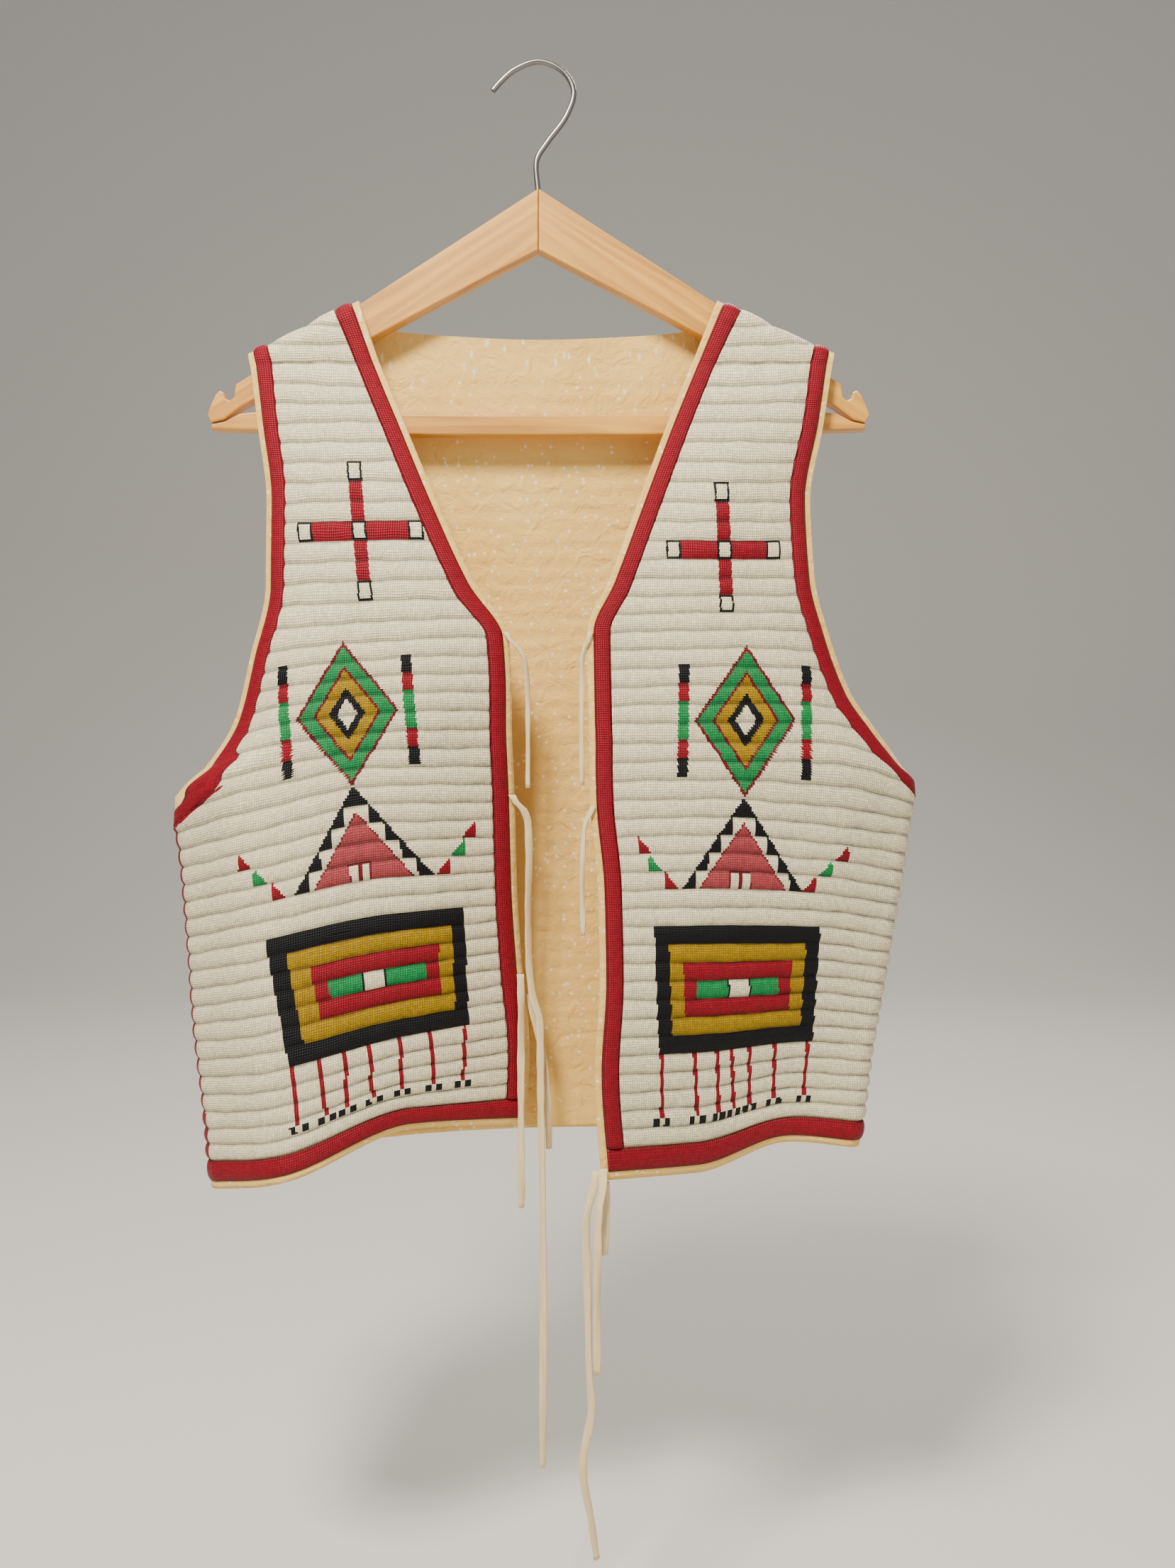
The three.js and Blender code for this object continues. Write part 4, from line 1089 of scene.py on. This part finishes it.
@dataclass
class BackPanel(Panel):
    """The back, with plain beadwork and its border lanes."""

    def columns(self, v: Array) -> Array:
        """Places across the back that crowd at the neck corners near its top.

        Args:
            v: lane positions, one for each row.

        Returns:
            The u of every column in every row.
        """
        corner = np.array((108, 113, 116, 118.5, 120, 121, 121.5))
        top = np.concatenate([np.linspace(-196, -122, 24), -corner[::-1], np.linspace(-101, 101, 54), corner,
                              np.linspace(122, 200.5, 24)])
        share = (top - top[0]) / (top[-1] - top[0])
        even = np.linspace(0, 1, len(top))
        even = 0.5 - 0.5 * np.sign(1 - 2 * even) * np.abs(1 - 2 * even) ** 0.8
        return mix(share[None, :], even[None, :], smooth(v / 12))

    def build(self) -> None:
        """Build and dress the back."""
        rows = self.hide_rows([0, 0.01, 0.03, 0.07, 0.13, 0.2, 0.3, 0.4, 0.5, 0.6, 0.7, 0.85])
        hide = self.hide_shell("hide_back", self.columns(rows), rows)
        pieces = [hide, self.lanes(), self.neck_border(), *(self.side_border(side) for side in Side),
                  self.hem_border()]
        edges = ("neck_back", "armhole_back_left", "armhole_back_right", "hem_back")
        self.declare(pieces, ["back", *(f"border_{edge}" for edge in edges)], (0.5, 0.6), ["left", "right"])

    def edge_reach(self, v: Array) -> Array:
        """How far in from a side edge the white lanes start."""
        return mix(FIELD_EDGE, BORDER + 0.6, seam_share(v))

    def border_start(self, v: Array) -> Array:
        """How far in from a side edge the border lane starts."""
        return mix(MARGIN, 0.5, seam_share(v))

    def side_u(self, side: Side, offset: Array | float, v: Array) -> Array:
        """The u of a place so many millimetres in from a side edge.

        Args:
            side: which side edge.
            offset: the distance, square to the edge.
            v: lane positions.

        Returns:
            The places across the back.
        """
        left_x, right_x = self.sheet.edge(self.sheet.left, v), self.sheet.edge(self.sheet.right, v)
        front = self.sheet.left if side is Side.LEFT else self.sheet.right
        share = offset * mix(front.slant("outer", v), 1.0, seam_share(v)) / (right_x - left_x)
        return share if side is Side.LEFT else 1 - share

    def lanes(self) -> bpy.types.Object:
        """The plain lanes of the back, whose top edge drops under the neck's border.

        Returns:
            The new object.
        """
        v = bead_rows(LANES)[:, None]
        u, v = np.broadcast_arrays(np.linspace(0, 1, 150)[None, :], v)
        start, end = (self.side_u(side, self.edge_reach(v), v) for side in Side)
        u = mix(start, end, u)
        level = self.sheet.level(u, 1.0)
        x = self.sheet.point(u, v)[..., 0]
        under_neck = np.clip(1 - smooth((np.abs(x) - 112) / 24), 0, 1)
        top = under_neck * (MARGIN + BORDER + 0.5) / (through(BACK_TOP_X, BACK_TOP_Z, x) - level)
        v = np.where(v < 1, mix(top, 1.0, v), v)
        return Beadwork(self.sheet, "lanes_back", self.beads, u, v, level).build()

    def neck_border(self) -> bpy.types.Object:
        """The lane below the back neck, from one shoulder seam to the other."""
        corner = np.linspace(100, 112, 10)[1:]
        x = np.concatenate([-corner[::-1], np.linspace(-100, 100, 130), corner])[:, None]
        v = ACROSS_BORDER / (through(BACK_TOP_X, BACK_TOP_Z, x) - BACK_MIDDLE[0])
        return self.border("neck_back", self.sheet.u_of(x, v), v)

    def side_border(self, side: Side) -> bpy.types.Object:
        """The lane round an armhole and down the side seam."""
        v = station_rows(12, LANES - 0.05)
        reach = mix(self.border_start(v), self.edge_reach(v) - 0.1, np.linspace(0, 1, ACROSS)[None, :])
        reach = reach if side is Side.LEFT else reach[:, ::-1]
        return self.border(f"side_back_{side.value}", self.side_u(side, reach, v), v)

    def hem_border(self) -> bpy.types.Object:
        """The lane along the back hem."""
        u = np.concatenate([np.linspace(0.002, 0.06, 30)[:-1], np.linspace(0.06, 0.94, 200),
                            np.linspace(0.94, 0.998, 30)[1:]])
        return self.border("hem_back", u[:, None], hem_lanes(LANES))


TIE_ROUTES = {
    "tie_left_top": (3.2, (
        (-20.2, -33.6, -391.5), (-17.2, -33.6, -397), (-12, -33, -402), (-7.6, -31, -410), (-6, -28, -425),
        (-5.8, -25.5, -460), (-6, -23.5, -494))),
    "tie_left_edge": (5.0, (
        (-11.4, -14.2, -619), (-10.9, -14.5, -640), (-11, -14.8, -700), (-11, -14.4, -740),
        (-10.6, -13.4, -776))),
    "tie_left_long": (5.0, (
        (-16.5, -24.6, -498.5), (-13.8, -24.3, -503.5), (-9.2, -23.6, -508), (-6, -21.2, -517),
        (-5.4, -18.4, -540), (-6.2, -15.8, -575), (-5.9, -14, -606), (-3.6, -13.6, -632), (1.6, -13.6, -652),
        (2.4, -14, -712), (3.4, -14, -760), (4, -14, -845), (3.6, -14, -900), (3.6, -14, -950))),
    "tie_left_short": (5.0, (
        (-5.6, -8.6, -633), (-3.2, -8.6, -646), (4.6, -8.4, -680), (7.2, -8, -716), (7.6, -8, -738))),
    "tie_right_top": (3.2, (
        (35.6, -49.2, -393.5), (34.4, -49.5, -398.5), (31.8, -49.8, -404), (30.2, -49.6, -413),
        (29.8, -50, -450), (30.2, -50.8, -492))),
    "tie_right_inside": (3.2, (
        (37, -55.3, -505.5), (35.6, -55.6, -510), (32.6, -55.6, -515), (31, -55.4, -524), (30.2, -56, -556),
        (30.8, -56.6, -588))),
    "tie_right_long": (5.0, (
        (39.1, -69, -734), (37.6, -72, -743), (32.8, -76.6, -764), (33.6, -77, -810), (34.4, -77, -852),
        (36, -77, -878), (30.6, -77, -914), (36, -76, -950), (39.4, -76, -973))),
    "tie_right_middle": (5.0, (
        (43.4, -70.8, -732), (43, -76, -743), (40.4, -80, -758), (39.8, -80.5, -790), (39.4, -80.5, -830),
        (39.6, -80.5, -856))),
    "tie_right_stub": (5.0, (
        (45.2, -69.2, -740.6), (45.4, -71, -752), (44.8, -74, -770), (44.4, -76, -784))),
}


@dataclass
class Tie:
    """A flat hide thong that hangs from its hole, curling a little about its length."""

    node: str
    width: float
    route: Sequence[Sequence[float]]
    material: bpy.types.Material
    thickness: float = 1.5
    turns: float = 0.12

    def smooth_route(self) -> Array:
        """Evenly spaced points on a smooth curve through the route, in millimetres."""
        points = np.array(self.route, dtype=float)
        steps = np.concatenate([[0], np.cumsum(np.linalg.norm(np.diff(points, axis=0), axis=1))])
        even = np.linspace(0, steps[-1], max(12, int(steps[-1] / 3)))
        return np.stack([through(steps, list(points[:, axis]), even) for axis in range(3)], axis=-1)

    def build(self) -> bpy.types.Object:
        """Returns:
            The new object.
        """
        places = self.smooth_route()
        count = len(places)
        section = [(-0.5, -0.3), (-0.4, -0.5), (0, -0.56), (0.4, -0.5), (0.5, -0.3),
                   (0.5, 0.3), (0.4, 0.5), (0, 0.56), (-0.4, 0.5), (-0.5, 0.3)]
        points = []
        for i, place in enumerate(places):
            share = i / (count - 1)
            angle = self.turns * math.sin(share * 7 + len(self.node)) * 2 * math.pi * smooth(share * 6)
            narrow = 1 - 0.06 * math.sin(i * 0.9 + len(self.node)) - 0.12 * smooth((share - 0.9) * 10)
            for across, through_it in section:
                a, b = across * self.width * narrow, through_it * self.thickness
                points.append((place[0] + a * math.cos(angle) - b * math.sin(angle),
                               place[1] + a * math.sin(angle) + b * math.cos(angle), place[2]))
        size = len(section)
        faces = [tuple(range(size)), tuple(range((count - 1) * size, count * size))[::-1]]
        for i in range(count - 1):
            for k in range(size):
                a, b = i * size + k, i * size + (k + 1) % size
                faces.append((a, a + size, b + size, b))
        mesh = bpy.data.meshes.new(self.node)
        mesh.from_pydata((np.array(points) * MM).tolist(), [], faces)
        mesh.shade_smooth()
        mesh.materials.append(self.material)
        piece = bpy.data.objects.new(f"thong_{self.node[4:]}", mesh)
        bpy.context.collection.objects.link(piece)
        dress(piece, "hide_tie")
        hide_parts(self.node)
        length = float(np.linalg.norm(np.diff(places, axis=0), axis=1).sum()) * MM
        LOG.info("%s: %.0f mm long", self.node, length / MM)
        return piece


@dataclass
class Hanger:
    """The wooden arms and bar keep their solids; the wire hook is drawn round."""

    slope: float = math.radians(32.7)
    hook_route: Sequence[Sequence[float]] = (
        (-0.2, -86.4), (-1, -65.4), (5.8, -53.8), (19.1, -35.4), (24.2, -18.7),
        (17.4, -5.4), (0.8, 1.9), (-16, -3.7), (-25.9, -12.1), (-31, -18))
    wire_radius: float = 1.9

    def build(self) -> bpy.types.Object:
        """Dress the wood and make the hook.

        Returns:
            The hook.
        """
        turns = {"hanger_arm_left": -self.slope, "hanger_arm_right": self.slope, "hanger_bar": 0.0}
        for node, turn in turns.items():
            wood = VarnishedBeech(turn).make()
            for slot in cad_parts[node].material_slots:
                slot.material = wood
        curve = bpy.data.curves.new("wire_hook", "CURVE")
        curve.dimensions = "3D"
        points = np.array([(x, 0.0, z) for x, z in self.hook_route], dtype=float)
        steps = np.concatenate([[0], np.cumsum(np.linalg.norm(np.diff(points, axis=0), axis=1) ** 0.5)])
        even = np.linspace(0, steps[-1], 80)
        spline = curve.splines.new("POLY")
        spline.points.add(len(even) - 1)
        route = np.stack([catmull(steps, points[:, axis], even) for axis in range(3)], axis=-1) * MM
        for point, place in zip(spline.points, route):
            point.co = (*place, 1.0)
        curve.bevel_depth = self.wire_radius * MM
        curve.bevel_resolution = 5
        curve.use_fill_caps = True
        piece = bpy.data.objects.new("wire_hook", curve)
        bpy.context.collection.objects.link(piece)
        bpy.ops.object.select_all(action="DESELECT")
        piece.select_set(True)
        bpy.context.view_layer.objects.active = piece
        bpy.ops.object.convert(target="MESH")
        piece.data.materials.append(BrightWire().make())
        piece.data.shade_smooth()
        dress(piece, "steel")
        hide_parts("hanger_hook")
        return piece


@dataclass
class Studio:
    """A pale room with soft light and the camera level with the middle of the vest, in metres."""

    camera_place: tuple[float, float, float] = (0.0336, -0.847, -0.4913)
    image_height: float = 2212.0
    focal_pixels: float = 1750.0
    sensor: float = 36.0
    floor_height: float = -1.06
    wall_depth: float = 4.0
    wall_top: float = 3.0
    reach: float = 6.0
    corner: float = 1.5
    room: str = "#D8D5D0"
    lamp: str = "#FFF8EA"
    sky: str = "#F2F1EE"
    sky_strength: float = 0.45
    aim: tuple[float, float, float] = (0.0, 0.0, -0.45)
    lamps: Sequence[tuple] = (("key", (-0.45, -1.0, 0.9), 62.0, 0.4), ("fill", (1.3, -1.6, -0.2), 9.0, 1.4),
                              ("back", (0.5, 1.9, 1.7), 60.0, 0.9))

    def camera(self) -> None:
        """Place the camera."""
        data = bpy.data.cameras.new("camera")
        data.sensor_fit = "VERTICAL"
        data.sensor_height = self.sensor
        data.lens = self.sensor * self.focal_pixels / self.image_height
        camera = bpy.data.objects.new("camera", data)
        camera.location = self.camera_place
        camera.rotation_euler = (math.pi / 2, 0, 0)
        bpy.context.collection.objects.link(camera)
        bpy.context.scene.camera = camera

    def light(self, name: str, place: Sequence[float], power: float, size: float) -> None:
        """Add one soft area light that faces the vest.

        Args:
            name: its name.
            place: where it stands.
            power: watts.
            size: width of its square face.
        """
        data = bpy.data.lights.new(name, "AREA")
        data.energy = power
        data.size = size
        data.color = linear(self.lamp)[:3]
        lamp = bpy.data.objects.new(name, data)
        lamp.location = place
        lamp.rotation_euler = (Vector(self.aim) - Vector(place)).to_track_quat("-Z", "Y").to_euler()
        bpy.context.collection.objects.link(lamp)

    def build(self) -> None:
        """Build the floor, the wall and the lights."""
        turn = [(self.wall_depth - self.corner + self.corner * math.sin(angle),
                 self.floor_height + self.corner - self.corner * math.cos(angle))
                for angle in np.linspace(0, math.pi / 2, 9)]
        profile = [(-self.reach, self.floor_height), *turn, (self.wall_depth, self.wall_top)]
        mesh = bpy.data.meshes.new("room")
        points = [(x, y, z) for y, z in profile for x in (-self.reach, self.reach)]
        faces = [(2 * i, 2 * i + 1, 2 * i + 3, 2 * i + 2) for i in range(len(profile) - 1)]
        mesh.from_pydata(points, [], faces)
        mesh.materials.append(Graph("pale_room").finish({"Base Color": linear(self.room), "Roughness": 0.95}))
        mesh.shade_smooth()
        room = bpy.data.objects.new("room", mesh)
        bpy.context.collection.objects.link(room)
        for lamp in self.lamps:
            self.light(*lamp)
        world = bpy.data.worlds.new("room_light")
        world.use_nodes = True
        sky = world.node_tree.nodes["Background"].inputs
        sky[0].default_value = linear(self.sky)
        sky[1].default_value = self.sky_strength
        bpy.context.scene.world = world


def main() -> None:
    """Build the whole picture."""
    logging.basicConfig(level=logging.INFO, format="%(name)s %(message)s")
    studio = Studio()
    studio.camera()
    thong = HideThong().make()
    for node, (width, route) in TIE_ROUTES.items():
        Tie(node, width, route, thong).build()
    studio.build()
    beads = GlassBeads().make()
    hide = TannedHide().make()
    left = FrontSheet(Side.LEFT, LEFT_ROWS)
    right = FrontSheet(Side.RIGHT, RIGHT_ROWS)
    FrontPanel(left, hide, beads, LEFT_CHART).build()
    FrontPanel(right, hide, beads, RIGHT_CHART).build()
    BackPanel(BackSheet(left, right), hide, beads).build()
    Hanger().build()


if __name__ == "__main__":
    main()
